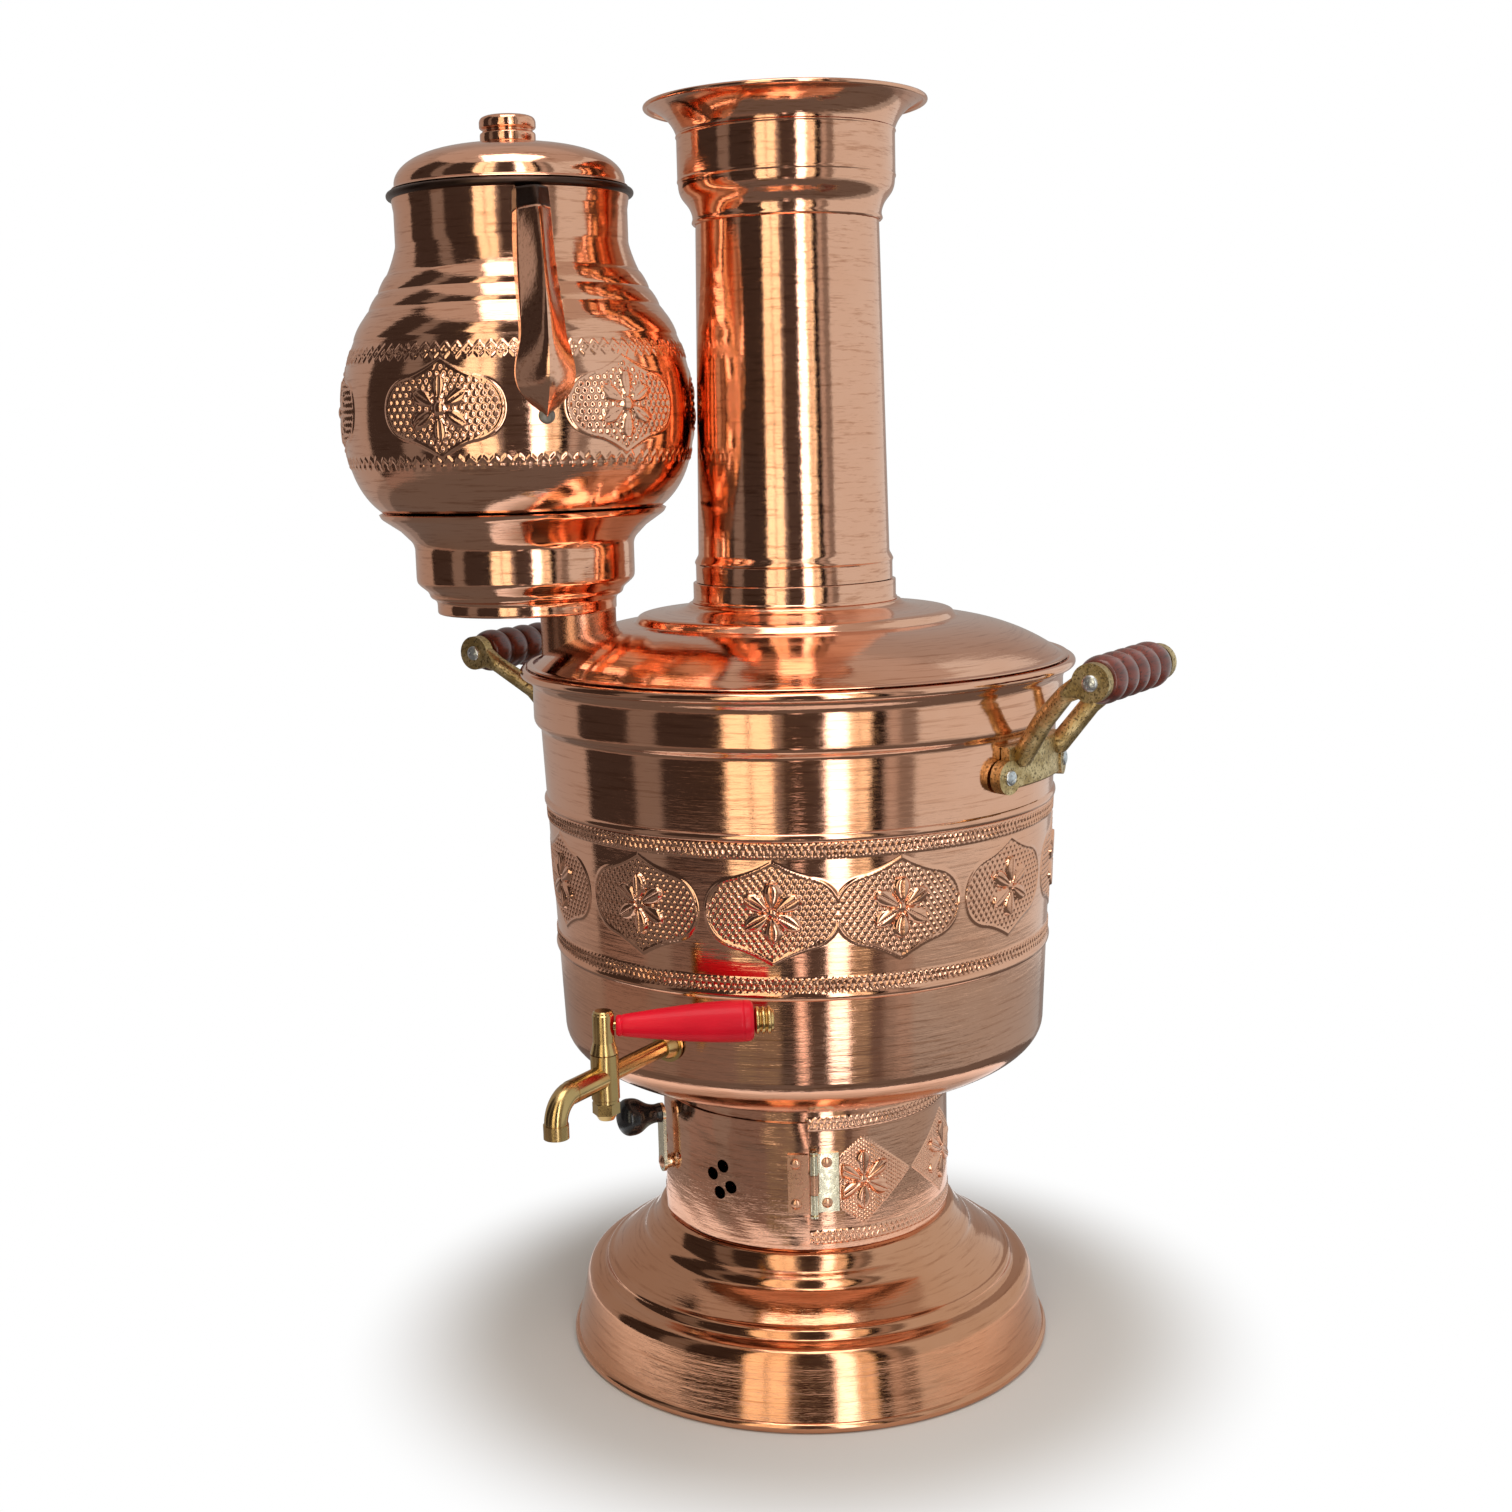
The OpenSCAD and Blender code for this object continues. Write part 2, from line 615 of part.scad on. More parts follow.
module lever_grip() color([0.75, 0.02, 0.05]) along_lever() translate([grip_x0, 0, 0])
    rotate([0, 90, 0]) rotate_extrude($fn = 64) {
        l = lever_grip_l;
        polygon(concat([[stem_r + fine, 0], [lever_thin_r - 0.6, 0], [lever_thin_r, 0.7],
                        [lever_thin_r, 2], [lever_thin_r - 0.25, 2.3], [lever_thin_r, 2.6]],
            curve([lever_thin_r + 0.3, 4], [lever_thin_r + 2, l * 0.35],
                  [lever_thick_r, l * 0.6], [lever_thick_r, l - 4.5]),
            [[lever_thick_r - 0.25, l - 4.1], [lever_thick_r, l - 3.7],
             [lever_thick_r - 0.3, l - 1.2], [lever_thick_r - 1.6, l], [stem_r + fine, l]]));
    }

module lever_ferrule() color(brass) along_lever()
    translate([grip_x0 + lever_grip_l + 0.1, 0, 0]) rotate([0, 90, 0]) rotate_extrude($fn = 64) {
        ribs = 3;
        step = (ferrule_l - 1) / ribs;
        polygon(concat([[stem_r + fine, 0]],
            [for (i = [0:ribs - 1], p = [[4.6, 0], [5.6, 0.25], [5.6, 0.65], [4.6, 0.9]])
                [p.x, (i + p.y) * step + 0.3]],
            [[4.6, ferrule_l - 0.6], [4, ferrule_l], [0, ferrule_l],
             [0, ferrule_l - 1], [stem_r + fine, ferrule_l - 1]]));
    }

// ---------- side handles ----------

screw_r = 1.8;
strap_in = tank_wall_r(handle_z + 13) + 0.2;
strap_out = strap_in + strap_t;
boss_in = grip_half_l + 2.5;             // inner face of a boss, from the handle's middle
pad_r = 7.2;
pad_out = strap_out + 0.6;
arm_r = 4.6;                             // radius of an arm at its root
arm_root_r = strap_in + arm_r + 0.2;     // distance of the root's middle from the body's axis
arm_root_az = 9.2;
strap_top = 12.5;                        // top of the strap over the screws
strap_low = -5.5;                        // bottom of the strap under the screws

// The frame of one handle: +X outward, +Y along the grip, z zero at the screws
module handle_frame(side) facing(90 * side, handle_mid_z) children();
module handle_screw_places() for (half = [-1, 1]) rotate([0, 0, half * handle_half_az]) children();

module ball(p, r) translate(p) sphere(r, $fn = 24);

module bracket_arm(half) {
    root = [arm_root_r * cos(arm_root_az), half * arm_root_r * sin(arm_root_az), 8];
    low = [mix(strap_out, grip_reach, 0.3), half * 25, grip_rise * 0.58];
    high = [mix(strap_out, grip_reach, 0.68), half * (boss_in + 1.5), grip_rise * 0.88];
    hull() { ball(root, arm_r); ball(low, 4.4); }
    hull() { ball(low, 4.4); ball(high, 3.8); }
    hull() {
        ball(high, 3.8);
        translate([grip_reach - 2, half * (boss_in + boss_t / 2), grip_rise])
            rotate([90, 0, 0]) cylinder(r = 5, h = boss_t - 0.6, center = true, $fn = 32);
    }
}

module bracket(side) color([0.62, 0.53, 0.30]) handle_frame(side) difference() {
    union() {
        rotate([0, 0, -handle_half_az]) rotate_extrude(angle = 2 * handle_half_az)
            polygon([[strap_in, strap_low], [strap_out - 1, strap_low], [strap_out, strap_low + 1],
                     [strap_out, strap_top - 1], [strap_out - 1, strap_top],
                     [strap_in, strap_top]]);
        handle_screw_places() bar(pad_r, strap_in - 0.1, pad_out);
        for (half = [-1, 1]) {
            bracket_arm(half);
            translate([grip_reach, half * (boss_in + boss_t / 2), grip_rise])
                rotate([90, 0, 0]) cylinder(r = boss_r, h = boss_t, center = true, $fn = 64);
        }
    }
    handle_screw_places() bar(screw_r + fine, strap_in - 8, strap_out + 8);
    for (half = [-1, 1]) translate([grip_reach, half * (boss_in + boss_t / 2), grip_rise])
        rotate([90, 0, 0]) cylinder(r = screw_r + fine, h = 3 * boss_t, center = true, $fn = 48);
}

// A turned grip with rounded ribs
module grip(side) color(rosewood) handle_frame(side)
    translate([grip_reach, -grip_half_l, grip_rise]) rotate([-90, 0, 0]) rotate_extrude($fn = 64) {
        ribs = 5;
        l = 2 * grip_half_l;
        hole = 2 + fine;
        polygon(concat([[hole, 0]],
            [for (i = [0:ribs * 10]) let (t = i / (ribs * 10))
                [grip_r * (0.74 + 0.26 * sqrt(abs(sin(180 * ribs * t)))), l * t]],
            [[hole, l]]));
    }

module rod(side) color(zinc) handle_frame(side)
    translate([grip_reach, 0, grip_rise]) rotate([90, 0, 0])
        cylinder(r = 2, h = 2 * grip_half_l, center = true, $fn = 48);

module end_screws(side) color(zinc) handle_frame(side)
    for (half = [-1, 1]) translate([grip_reach, 0, grip_rise]) rotate([0, 0, 90 * half]) {
        bar(screw_r, grip_half_l + 0.2, boss_in + boss_t + 0.1);
        head(3.4, 1.6, boss_in + boss_t + 0.05);
    }

module bracket_screws(side) color(zinc) handle_frame(side) handle_screw_places() {
    bar(screw_r, strap_in - 9, pad_out + 0.1);
    head(3.3, 1.5, pad_out + 0.05);
}

module bracket_nuts(side) color(zinc) handle_frame(side) handle_screw_places()
    translate([strap_in - wall - 5, 0, 0]) difference() {
        bar(3.6, 0, 2.8, fn = 6);
        bar(screw_r + fine, -1, 4);
    }

// ---------- lid ----------

lid_r = rim_r - rim_bead_r - 0.7;
skirt_r = band_r - wall - 0.6;           // outside of the skirt inside the tank
function lid_point(r, z) = [r, lid_z + z];

lid_path = concat(
    [lid_point(lid_r, 0.5), lid_point(lid_r - 0.5, 1), lid_point(lid_r - 2.4, 1),
     lid_point(lid_r - 3, 0.9)],
    curve(lid_point(lid_r - 4.5, 1.8), lid_point(lid_r - 16, 9.8),
          lid_point(lid_r - 30, 15.4), lid_point(lid_r - 46, 17.2), 10),
    [lid_point(lid_r - 49.5, 17.6), lid_point(lid_r - 50.4, 19),
     lid_point(lid_r - 51.6, 20.6), lid_point(lid_r - 54, 21.4), lid_point(lid_r - 57, 21.6)],
    curve(lid_point(lid_r - 59, 21.9), lid_point(lid_r - 67, 22.3),
          [collar_r + 3.5, land_z - 2.4], [collar_r + 2.2, land_z - 0.4], 6),
    [[collar_r + 1.6, land_z], [collar_r - 3.2, land_z]]);

module pipe_place() rotate([0, 0, pot_az]) translate([0, -pipe_reach, 0]) children();

module lid_shell() color(copper) difference() {
    rotate_extrude() {
        sheet_section(lid_path);
        translate([skirt_r - wall, rim_z - skirt_h]) square([wall, skirt_h + rim_bead_r + seat + 1.6]);
    }
    pipe_place() translate([0, 0, rim_z - 20]) cylinder(r = pipe_r + fine, h = 60);
}

module lid_collar() color(copper) translate([0, 0, land_z]) rotate_extrude()
    polygon([[flue_r + 0.6, 0], [collar_r + 0.6, 0], [collar_r + 0.6, 0.8], [collar_r, 1.6],
             [collar_r, collar_h], [flue_r + 0.6, collar_h]]);

pipe_wall = 1.5;
module steam_pipe() color(copper) pipe_place() difference() {
    translate([0, 0, rim_z - 4]) cylinder(r = pipe_r, h = stand_z + 4);
    translate([0, 0, rim_z - 5]) cylinder(r = pipe_r - pipe_wall, h = stand_z + 10);
}

stand_path = let (z = rim_z + stand_z, h = stand_h)
    [[0, z], [stand_foot_r, z], [stand_foot_r, z + 5], [stand_foot_r + 0.7, z + 6.4],
     [stand_foot_r + 3, z + 7.6], [stand_foot_r + 3.6, z + 10], [stand_r - 1.6, z + 13],
     [stand_r - 0.2, z + 14.6], [stand_r, z + 17], [stand_r, z + h - 15.3],
     [stand_r + 0.9, z + h - 12.8], [stand_r + 6, z + h - 7.6],
     [stand_rim_r - 1, z + h - 2], [stand_rim_r, z + h]];

module pot_place() translate(pot_reach * pot_dir) children();

module stand_cup() color(copper) difference() {
    pot_place() sheet(stand_path);
    pipe_place() translate([0, 0, rim_z + stand_z - 5]) cylinder(r = pipe_r - pipe_wall, h = 10);
}

// ---------- chimney ----------

function chimney_r(z) = mix(chimney_low_r - 1.2, chimney_high_r,
                            (z - chimney_z - 10) / (crown_z - chimney_z - 10));

module chimney_tube() color(copper) rotate_extrude() {
    sheet_section([[chimney_low_r, chimney_z], [chimney_low_r, chimney_z + 7.5],
                   [chimney_low_r + 0.5, chimney_z + 8.6], [chimney_low_r, chimney_z + 9.7],
                   [chimney_r(chimney_z + 12), chimney_z + 12],
                   [chimney_high_r, crown_z + 3]]);
}

crown_path = let (z = crown_z)
    concat([[chimney_high_r + wall + fine, z], [chimney_high_r + 1.8, z + 0.8],
            [chimney_high_r + 1.2, z + 2.6]],
           curve([chimney_high_r + 1.3, z + 4], [chimney_high_r + 3, z + 11],
                 [crown_r - 0.5, z + 9.5], [crown_r - 0.2, z + 17.5]),
           [[crown_r + 0.3, z + 18.4], [crown_r, z + 19.4], [crown_r, z + crown_h - 14.5],
            [crown_r + 0.5, z + crown_h - 13.7]],
           curve([crown_r, z + crown_h - 12.8], [crown_r + 2, z + crown_h - 6],
                 [mouth_r - 6, z + crown_h - 1.4], [mouth_r - 1.2, z + crown_h - 0.9]));

mouth_bead_r = 1.1;
module chimney_crown() color(copper) rotate_extrude() {
    sheet_section(crown_path);
    translate([mouth_r - mouth_bead_r, chimney_top - mouth_bead_r]) circle(mouth_bead_r, $fn = 48);
}

// ---------- teapot ----------

function pot_point(r, h) = [r, pot_z + h];
// A point over the belly: t runs from the widest place up to the rim
function high_point(r, t) = pot_point(r, mix(belly_h, pot_h, t));

pot_low_path = concat(
    [pot_point(0, 0), pot_point(stand_r + 1.2, 0)],
    curve(pot_point(stand_r + 11.9, 8.5), pot_point(pot_r - 5.5, 16),
          pot_point(pot_r, 30), pot_point(pot_r, belly_h)));
pot_high_path = concat(
    curve(high_point(pot_r, 0), high_point(pot_r + 0.2, 0.195),
          high_point(pot_r - 4, 0.349), high_point(pot_r - 12, 0.467)),
    curve(high_point(pot_r - 12, 0.467), high_point(pot_neck_r + 9, 0.564),
          high_point(pot_neck_r + 3, 0.656), high_point(pot_neck_r, 0.78), 6),
    [pot_point(pot_neck_r, pot_h - 7), pot_point(pot_neck_r + 0.8, pot_h - 2),
     pot_point(pot_neck_r + 1.4, pot_h)]);
pot_path = concat(pot_low_path, pot_high_path);

// Places of the rings on the teapot's shoulder, each on the wall at its height
function pot_wall_r(h) = lookup(pot_z + h, [for (p = pot_high_path) [p.y, p.x]]);
pot_rings = [for (t = [0.3405, 0.431, 0.525]) let (h = mix(belly_h, pot_h, t))
    pot_point(pot_wall_r(h), h)];
pot_ring_r = 1.2;
strainer_r = 2;

// The rings and the rolled rim
module pot_beads(grow = 0) {
    for (place = pot_rings) translate(place) circle(pot_ring_r + grow, $fn = 32);
    translate(pot_point(pot_neck_r + 1.2, pot_h)) circle(pot_bead_r + grow, $fn = 48);
}

// The whole body of the teapot, used to fit what is soldered to it
module pot_outline(grow = 0) rotate_extrude() {
    polygon(concat([for (p = clean(pot_path)) p + [p.x > 0 ? grow : 0, 0]], [[0, pot_z + pot_h]]));
    pot_beads(grow);
}

module pot_body() color(copper) pot_place() difference() {
    rotate_extrude() {
        sheet_section(pot_path);
        pot_beads();
    }
    for (h = [belly_h + 6, belly_h + 16]) for (side = [-1, 0, 1])
        facing(spout_az + side * 3.6, pot_z + h) bar(strainer_r, pot_r - 12, pot_r + 6);
}

// Half width, back and ridge of the spout's section at a height
spout_levels = let (r = pot_r, h = pot_h - belly_h) [
    [1.5, r - 4, r + 1.5, belly_h],
    [spout_w, r - 6, r + 9, belly_h + 0.103 * h],
    [spout_w * 0.92, r - 10, r + 12.5, belly_h + 0.369 * h],
    [spout_w * 0.8, pot_neck_r + 2, r + 7.5, belly_h + 0.646 * h],
    [spout_w * 0.7, pot_neck_r + 5, r - 2, belly_h + 0.882 * h],
    [spout_w * 0.66, pot_neck_r + 5.5, r - 7, belly_h + 0.964 * h]];

module spout_slice(level, shrink = 0)
    translate([0, 0, pot_z + level[3]]) linear_extrude(0.3)
        polygon([[level[1] + shrink, level[0] - shrink], [level[1] + shrink, shrink - level[0]],
                 [mix(level[1], level[2], 0.45), shrink - level[0]], [level[2] - 1.5 * shrink, 0],
                 [mix(level[1], level[2], 0.45), level[0] - shrink]]);

module pot_spout() color(copper) pot_place() facing(spout_az) difference() {
    union() for (i = [0:4]) hull() {
        spout_slice(spout_levels[i]);
        spout_slice(spout_levels[i + 1]);
    }
    hull() {
        spout_slice(spout_levels[1] + [0, 0, 0, 1], 1.2);
        spout_slice(spout_levels[3], 1.2);
    }
    hull() {
        spout_slice(spout_levels[3] - [0, 0, 0, 0.1], 1.2);
        spout_slice(spout_levels[5] + [0, 0, 0, 1], 1.2);
    }
    pot_outline(fine);
    translate([pot_neck_r + 4, -20, pot_z + pot_h - 4]) rotate([0, 38, 0]) cube([60, 40, 30]);
}

handle_centre = [pot_r - 2, belly_h + 39];
module pot_handle() color(copper) pot_place() difference() {
    facing(spout_az - 180) translate([handle_centre.x, 0, pot_z + handle_centre.y])
        rotate([90, 0, 0]) rotate([0, 0, -95]) rotate_extrude(angle = 220)
            translate([handle_bow_r, 0]) circle(handle_tube_r, $fn = 48);
    pot_outline(fine);
}

lid_seat_h = pot_h + pot_bead_r + seat;  // underside of the teapot lid's edge
pot_lid_r = pot_neck_r + 0.8;
pot_lid_path = concat(
    [pot_point(pot_lid_r, lid_seat_h + 0.4), pot_point(pot_lid_r - 0.5, lid_seat_h + 1.1),
     pot_point(pot_lid_r - 1.6, lid_seat_h + 1.3)],
    curve(pot_point(pot_lid_r - 1.5, lid_seat_h + 2.6), pot_point(pot_lid_r - 1.5, lid_seat_h + 11),
          pot_point(pot_lid_r - 14, lid_seat_h + dome_h - 0.5),
          pot_point(knob_r, lid_seat_h + dome_h)),
    [pot_point(0, lid_seat_h + dome_h)]);

module pot_lid() color(copper) pot_place() difference() {
    rotate_extrude() {
        sheet_section(pot_lid_path);
        translate(pot_point(pot_neck_r - wall - 1.6, pot_h - 5)) square([wall, 9]);
    }
    translate([0, 0, pot_z + lid_seat_h]) cylinder(r = 1.5 + fine, h = 2 * dome_h);
}

module pot_lid_knob() color(copper) pot_place()
    translate([0, 0, pot_z + lid_seat_h + dome_h + fine]) rotate_extrude()
        polygon([[0, 0], [knob_r - 0.7, 0], [knob_r - 0.7, 0.8], [knob_r - 0.2, 1.4],
                 [knob_r - 0.2, knob_h * 0.4], [knob_r - 1.4, knob_h * 0.46],
                 [knob_r - 1.4, knob_h * 0.52], [knob_r, knob_h * 0.58],
                 [knob_r, knob_h - 2.2], [knob_r - 0.7, knob_h - 0.8],
                 [knob_r - 2.4, knob_h], [0, knob_h]]);

module pot_lid_rivet() color(copper) pot_place()
    translate([0, 0, pot_z + lid_seat_h + dome_h]) rotate([0, 90, 0]) {
        bar(1.5, -0.01, wall + 0.02);
        head(3, 1.2, wall + fine);
    }

// ---------- nodes ----------

foot_shell();
ash_plate();
neck_shell();
tank_bowl();
tank_shell();
fire_tube();
fire_grate();
fire_door();
door_leaf();
door_leaf_rivets();
neck_leaf();
neck_leaf_rivets();
hinge_pin();
latch_lever();
latch_rivet();
latch_stop();
latch_knob();
tap_body();
tap_washer();
tap_seal();
tap_lock_nut();
tap_plug();
tap_plug_washer();
tap_plug_nut();
lever_stem();
lever_grip();
lever_ferrule();
bracket(1);  // right_bracket
grip(1);  // right_grip
rod(1);  // right_rod
end_screws(1);  // right_end_screws
bracket_screws(1);  // right_bracket_screws
bracket_nuts(1);  // right_bracket_nuts
bracket(-1);  // left_bracket
grip(-1);  // left_grip
rod(-1);  // left_rod
end_screws(-1);  // left_end_screws
bracket_screws(-1);  // left_bracket_screws
bracket_nuts(-1);  // left_bracket_nuts
lid_shell();
lid_collar();
steam_pipe();
stand_cup();
chimney_tube();
chimney_crown();
pot_body();
pot_spout();
pot_handle();
pot_lid();
pot_lid_knob();
pot_lid_rivet();
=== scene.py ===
# %% [markdown]
# # A charcoal samovar in spun copper
# The water stands in a tank round a fire tube. Charcoal burns on a grate behind the
# door in the neck, the smoke leaves through the chimney, and the teapot keeps warm on
# a side stand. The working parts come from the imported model. This lesson dresses them:
# it turns the copper, embosses its bands, casts the brass and lights the whole.

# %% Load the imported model
import math
import bpy
import bmesh
import numpy as np
from mathutils import Matrix, Vector


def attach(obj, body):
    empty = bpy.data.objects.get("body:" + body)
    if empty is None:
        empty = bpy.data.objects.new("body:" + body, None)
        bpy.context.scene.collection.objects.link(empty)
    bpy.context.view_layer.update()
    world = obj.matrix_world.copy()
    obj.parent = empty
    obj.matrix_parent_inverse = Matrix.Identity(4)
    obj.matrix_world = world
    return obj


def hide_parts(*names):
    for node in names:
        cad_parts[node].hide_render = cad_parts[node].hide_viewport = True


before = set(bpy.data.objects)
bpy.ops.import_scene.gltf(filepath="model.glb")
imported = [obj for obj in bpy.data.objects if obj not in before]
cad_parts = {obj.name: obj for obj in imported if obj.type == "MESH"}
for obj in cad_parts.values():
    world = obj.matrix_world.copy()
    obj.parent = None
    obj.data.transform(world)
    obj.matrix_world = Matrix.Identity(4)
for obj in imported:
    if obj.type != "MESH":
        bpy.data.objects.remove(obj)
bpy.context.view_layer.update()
MM = 0.001

# %% [markdown]
# ## Materials first
# Every finish is a recipe of shader nodes. The nodes could be joined by hand in the
# shader editor, but a recipe in code can be read and reused. A small class keeps the
# recipes short: each call adds one node, sets its choices, and joins or fills its inputs
# by name. Lengths inside a recipe are in metres, because the pieces are.

# %% A short way to write a recipe
class Recipe:
    """A material made step by step."""

    def __init__(self, name):
        self.material = bpy.data.materials.new(name)
        self.material.use_nodes = True
        self.tree = self.material.node_tree
        self.tree.nodes.clear()

    def add(self, kind, choices=None, **inputs):
        node = self.tree.nodes.new("ShaderNode" + kind)
        for key, value in (choices or {}).items():
            setattr(node, key, value)
        for key, value in inputs.items():
            place = int(key[1:]) if key[0] == "i" and key[1:].isdigit() else key.replace("_", " ")
            socket = node.inputs[place]
            if isinstance(value, bpy.types.Node):
                value = value.outputs[0]
            if isinstance(value, bpy.types.NodeSocket):
                self.tree.links.new(value, socket)
            else:
                socket.default_value = value
        return node

    def math(self, operation, first, second=0.0):
        return self.add("Math", {"operation": operation}, i0=first, i1=second)

    def ramp(self, value, low, high, to_low=0.0, to_high=1.0):
        return self.add("MapRange", {"interpolation_type": "SMOOTHSTEP"}, Value=value,
                        From_Min=low, From_Max=high, To_Min=to_low, To_Max=to_high)

    def noise(self, vector, scale, detail=2.0, rough=0.5):
        return self.add("TexNoise", Vector=vector, Scale=scale, Detail=detail, Roughness=rough)

    def bump(self, height, distance, strength=1.0, before=None):
        node = self.add("Bump", Height=height, Distance=distance, Strength=strength)
        if before:
            self.tree.links.new(before.outputs[0], node.inputs["Normal"])
        return node

    def mix(self, factor, first, second):
        """Mixes two colours by a factor."""
        node = self.add("Mix", {"data_type": "RGBA"})
        self.tree.links.new(factor.outputs[0], node.inputs[0])
        for socket, colour in ((node.inputs[6], first), (node.inputs[7], second)):
            if isinstance(colour, bpy.types.NodeSocket):
                self.tree.links.new(colour, socket)
            else:
                socket.default_value = (*colour, 1)
        return node.outputs[2]

    def place(self):
        """Where a point of the surface lies in its own object."""
        return self.add("TexCoord").outputs["Object"]

    def finish(self, shader):
        out = self.add("OutputMaterial")
        self.tree.links.new(shader.outputs[0], out.inputs["Surface"])
        return self.material

    def surface(self, colour, rough, tilt, **more):
        return self.finish(self.add("BsdfPrincipled", Base_Color=colour, Roughness=rough,
                                    Normal=tilt, **more))


def shaded(colour, *shares):
    """The colour times one share, or times a share for each of red, green and blue."""
    return tuple(np.multiply(colour, shares))


print("a recipe adds nodes such as ShaderNodeBsdfPrincipled")

# %% [markdown]
# ## Spun copper
# Sheet copper is pressed against a turning wood form. The tool leaves rings finer than
# a hair, shallow waves a few millimetres apart and some long dark streaks, and the
# polishing wheel leaves the rest almost like a mirror. A painted texture would need
# unwrapping and would smear on the curves. Here the bump is a noise in two numbers: the
# distance from the piece's own axis and the height. A third number, the direction round
# the axis, is added weakly, so that a ring fades and comes back as it goes round.

# %% The copper recipe
def copper(name, axis=(0.0, 0.0), colour=(0.91, 0.505, 0.345), lines=1.0, gloss=0.05):
    """Polished copper sheet, spun round the upright axis at these millimetres."""
    m = Recipe(name)
    place = m.place()
    moved = m.add("VectorMath", {"operation": "SUBTRACT"}, i0=place,
                  i1=(axis[0] * MM, axis[1] * MM, 0))
    part = m.add("SeparateXYZ", Vector=moved)
    flat = m.add("CombineXYZ", X=part.outputs[0], Y=part.outputs[1])
    reach = m.add("VectorMath", {"operation": "LENGTH"}, i0=flat).outputs["Value"]
    turn = m.math("ARCTAN2", part.outputs[1], part.outputs[0])

    def rings(turn_share):
        """A place in ring space; a small share of the turn makes long rings."""
        return m.add("CombineXYZ", X=reach, Y=part.outputs[2],
                     Z=m.math("MULTIPLY", turn, turn_share))

    ring = rings(0.02)
    fine = m.noise(ring, 900.0, 3.0, 0.6)
    wide = m.noise(ring, 230.0, 2.0, 0.5)
    streak = m.noise(rings(0.005), 620.0, 4.0, 0.7)
    soft = m.noise(place, 30.0, 3.0, 0.5)
    tarnish = m.noise(place, 11.0, 4.0, 0.6)
    tilt = m.bump(soft, 0.00022, 0.55)
    tilt = m.bump(wide, 0.00013 * lines, 0.6, tilt)
    tilt = m.bump(streak, 0.00007 * lines, 0.8, tilt)
    tilt = m.bump(fine, 0.00003 * lines, 0.8, tilt)
    tint = m.mix(m.ramp(tarnish, 0.35, 0.75), colour, shaded(colour, 0.93, 0.84, 0.76))
    tint = m.mix(m.ramp(streak, 0.50, 0.72), tint, shaded(colour, 0.70, 0.60, 0.53))
    return m.surface(tint, m.ramp(fine, 0.3, 0.75, gloss, gloss + 0.07), tilt, Metallic=1.0)


POT_AXIS = (-105.22, -60.75)
COPPER = copper("copper_body")
COPPER_POT = copper("copper_pot", POT_AXIS)
COPPER_DULL = copper("copper_dull", colour=(0.62, 0.30, 0.19), lines=1.4, gloss=0.22)
# Near-black copper: painted shade for the gap under the teapot's lid and for the inside of the
# beak's mouth
COPPER_PAINTED_SHADE = copper("copper_painted_shade", POT_AXIS, (0.075, 0.045, 0.035), 1.4, 0.30)
# Darker, browner copper for the foot: painted shade for the dark ground that it reflects
COPPER_FOOT_SHADE = copper("copper_foot_shade", colour=(0.68, 0.345, 0.205), gloss=0.07)
print("copper recipes:", COPPER.name, COPPER_POT.name, COPPER_DULL.name, COPPER_PAINTED_SHADE.name,
      COPPER_FOOT_SHADE.name)

# %% [markdown]
# ## Cast, turned and plated metals
# The tap is turned and polished brass, so it gets a faint grain and hardly any roughness.
# The handle brackets come from a sand mould: their skin is dull, pitted and darker in
# the pits. Screws are zinc plated, with the cloudy spangle of the plating. One noise
# could drive all three, but each trade leaves marks of its own size, so each has its own.

# %% Recipes for the other metals
def turned_brass(name, colour=(0.66, 0.45, 0.19)):
    m = Recipe(name)
    place = m.place()
    soft = m.noise(place, 60.0, 2.0)
    tilt = m.bump(m.noise(place, 900.0, 2.0), 0.00001, 0.8, m.bump(soft, 0.0002, 0.5))
    tint = m.mix(m.ramp(m.noise(place, 45.0, 3.0), 0.4, 0.75), colour, shaded(colour, 0.78))
    return m.surface(tint, m.ramp(soft, 0.3, 0.7, 0.12, 0.26), tilt, Metallic=1.0)


def cast_brass(name, low=(0.50, 0.34, 0.14), high=(0.78, 0.59, 0.31), pit=(0.20, 0.14, 0.07)):
    m = Recipe(name)
    place = m.place()
    grain = m.noise(place, 900.0, 4.0, 0.65)
    blotch = m.noise(place, 140.0, 3.0, 0.6)
    tint = m.mix(m.ramp(grain, 0.52, 0.62), m.mix(m.ramp(blotch, 0.38, 0.66), low, high), pit)
    tilt = m.bump(grain, 0.00025, 0.7, m.bump(blotch, 0.0006, 0.5))
    return m.surface(tint, m.ramp(grain, 0.3, 0.7, 0.30, 0.52), tilt, Metallic=1.0)


def plated(name, colour, rough=0.24):
    m = Recipe(name)
    spangle = m.noise(m.place(), 420.0, 3.0, 0.6)
    tint = m.mix(m.ramp(spangle, 0.35, 0.7), colour, shaded(colour, 0.72))
    return m.surface(tint, m.ramp(spangle, 0.3, 0.7, rough, rough + 0.18),
                     m.bump(spangle, 0.00006, 0.6), Metallic=1.0)


BRASS = turned_brass("polished_brass")
CAST_BRASS = cast_brass("cast_brass")
ZINC = plated("zinc_plate", (0.72, 0.74, 0.76))
HINGE_PLATE = plated("hinge_plate", (0.97, 0.90, 0.68), 0.14)
RIVET = plated("copper_rivet", (0.86, 0.47, 0.31), 0.2)
SOLDER = plated("solder", (0.30, 0.27, 0.24), 0.45)
IRON = plated("cast_iron", (0.09, 0.085, 0.08), 0.6)
print("metals:", BRASS.name, CAST_BRASS.name, ZINC.name, HINGE_PLATE.name)

# %% [markdown]
# ## Lacquer, varnished wood and black plastic
# The red grip is turned wood under thick lacquer: an even colour, a thin clear gloss on
# top and a slight orange-peel wave. The side grips show dark grain along the wood under
# a red-brown varnish. Stretching the noise along the grain does this without a picture.
# The latch knob is moulded plastic with fine scratches from use.

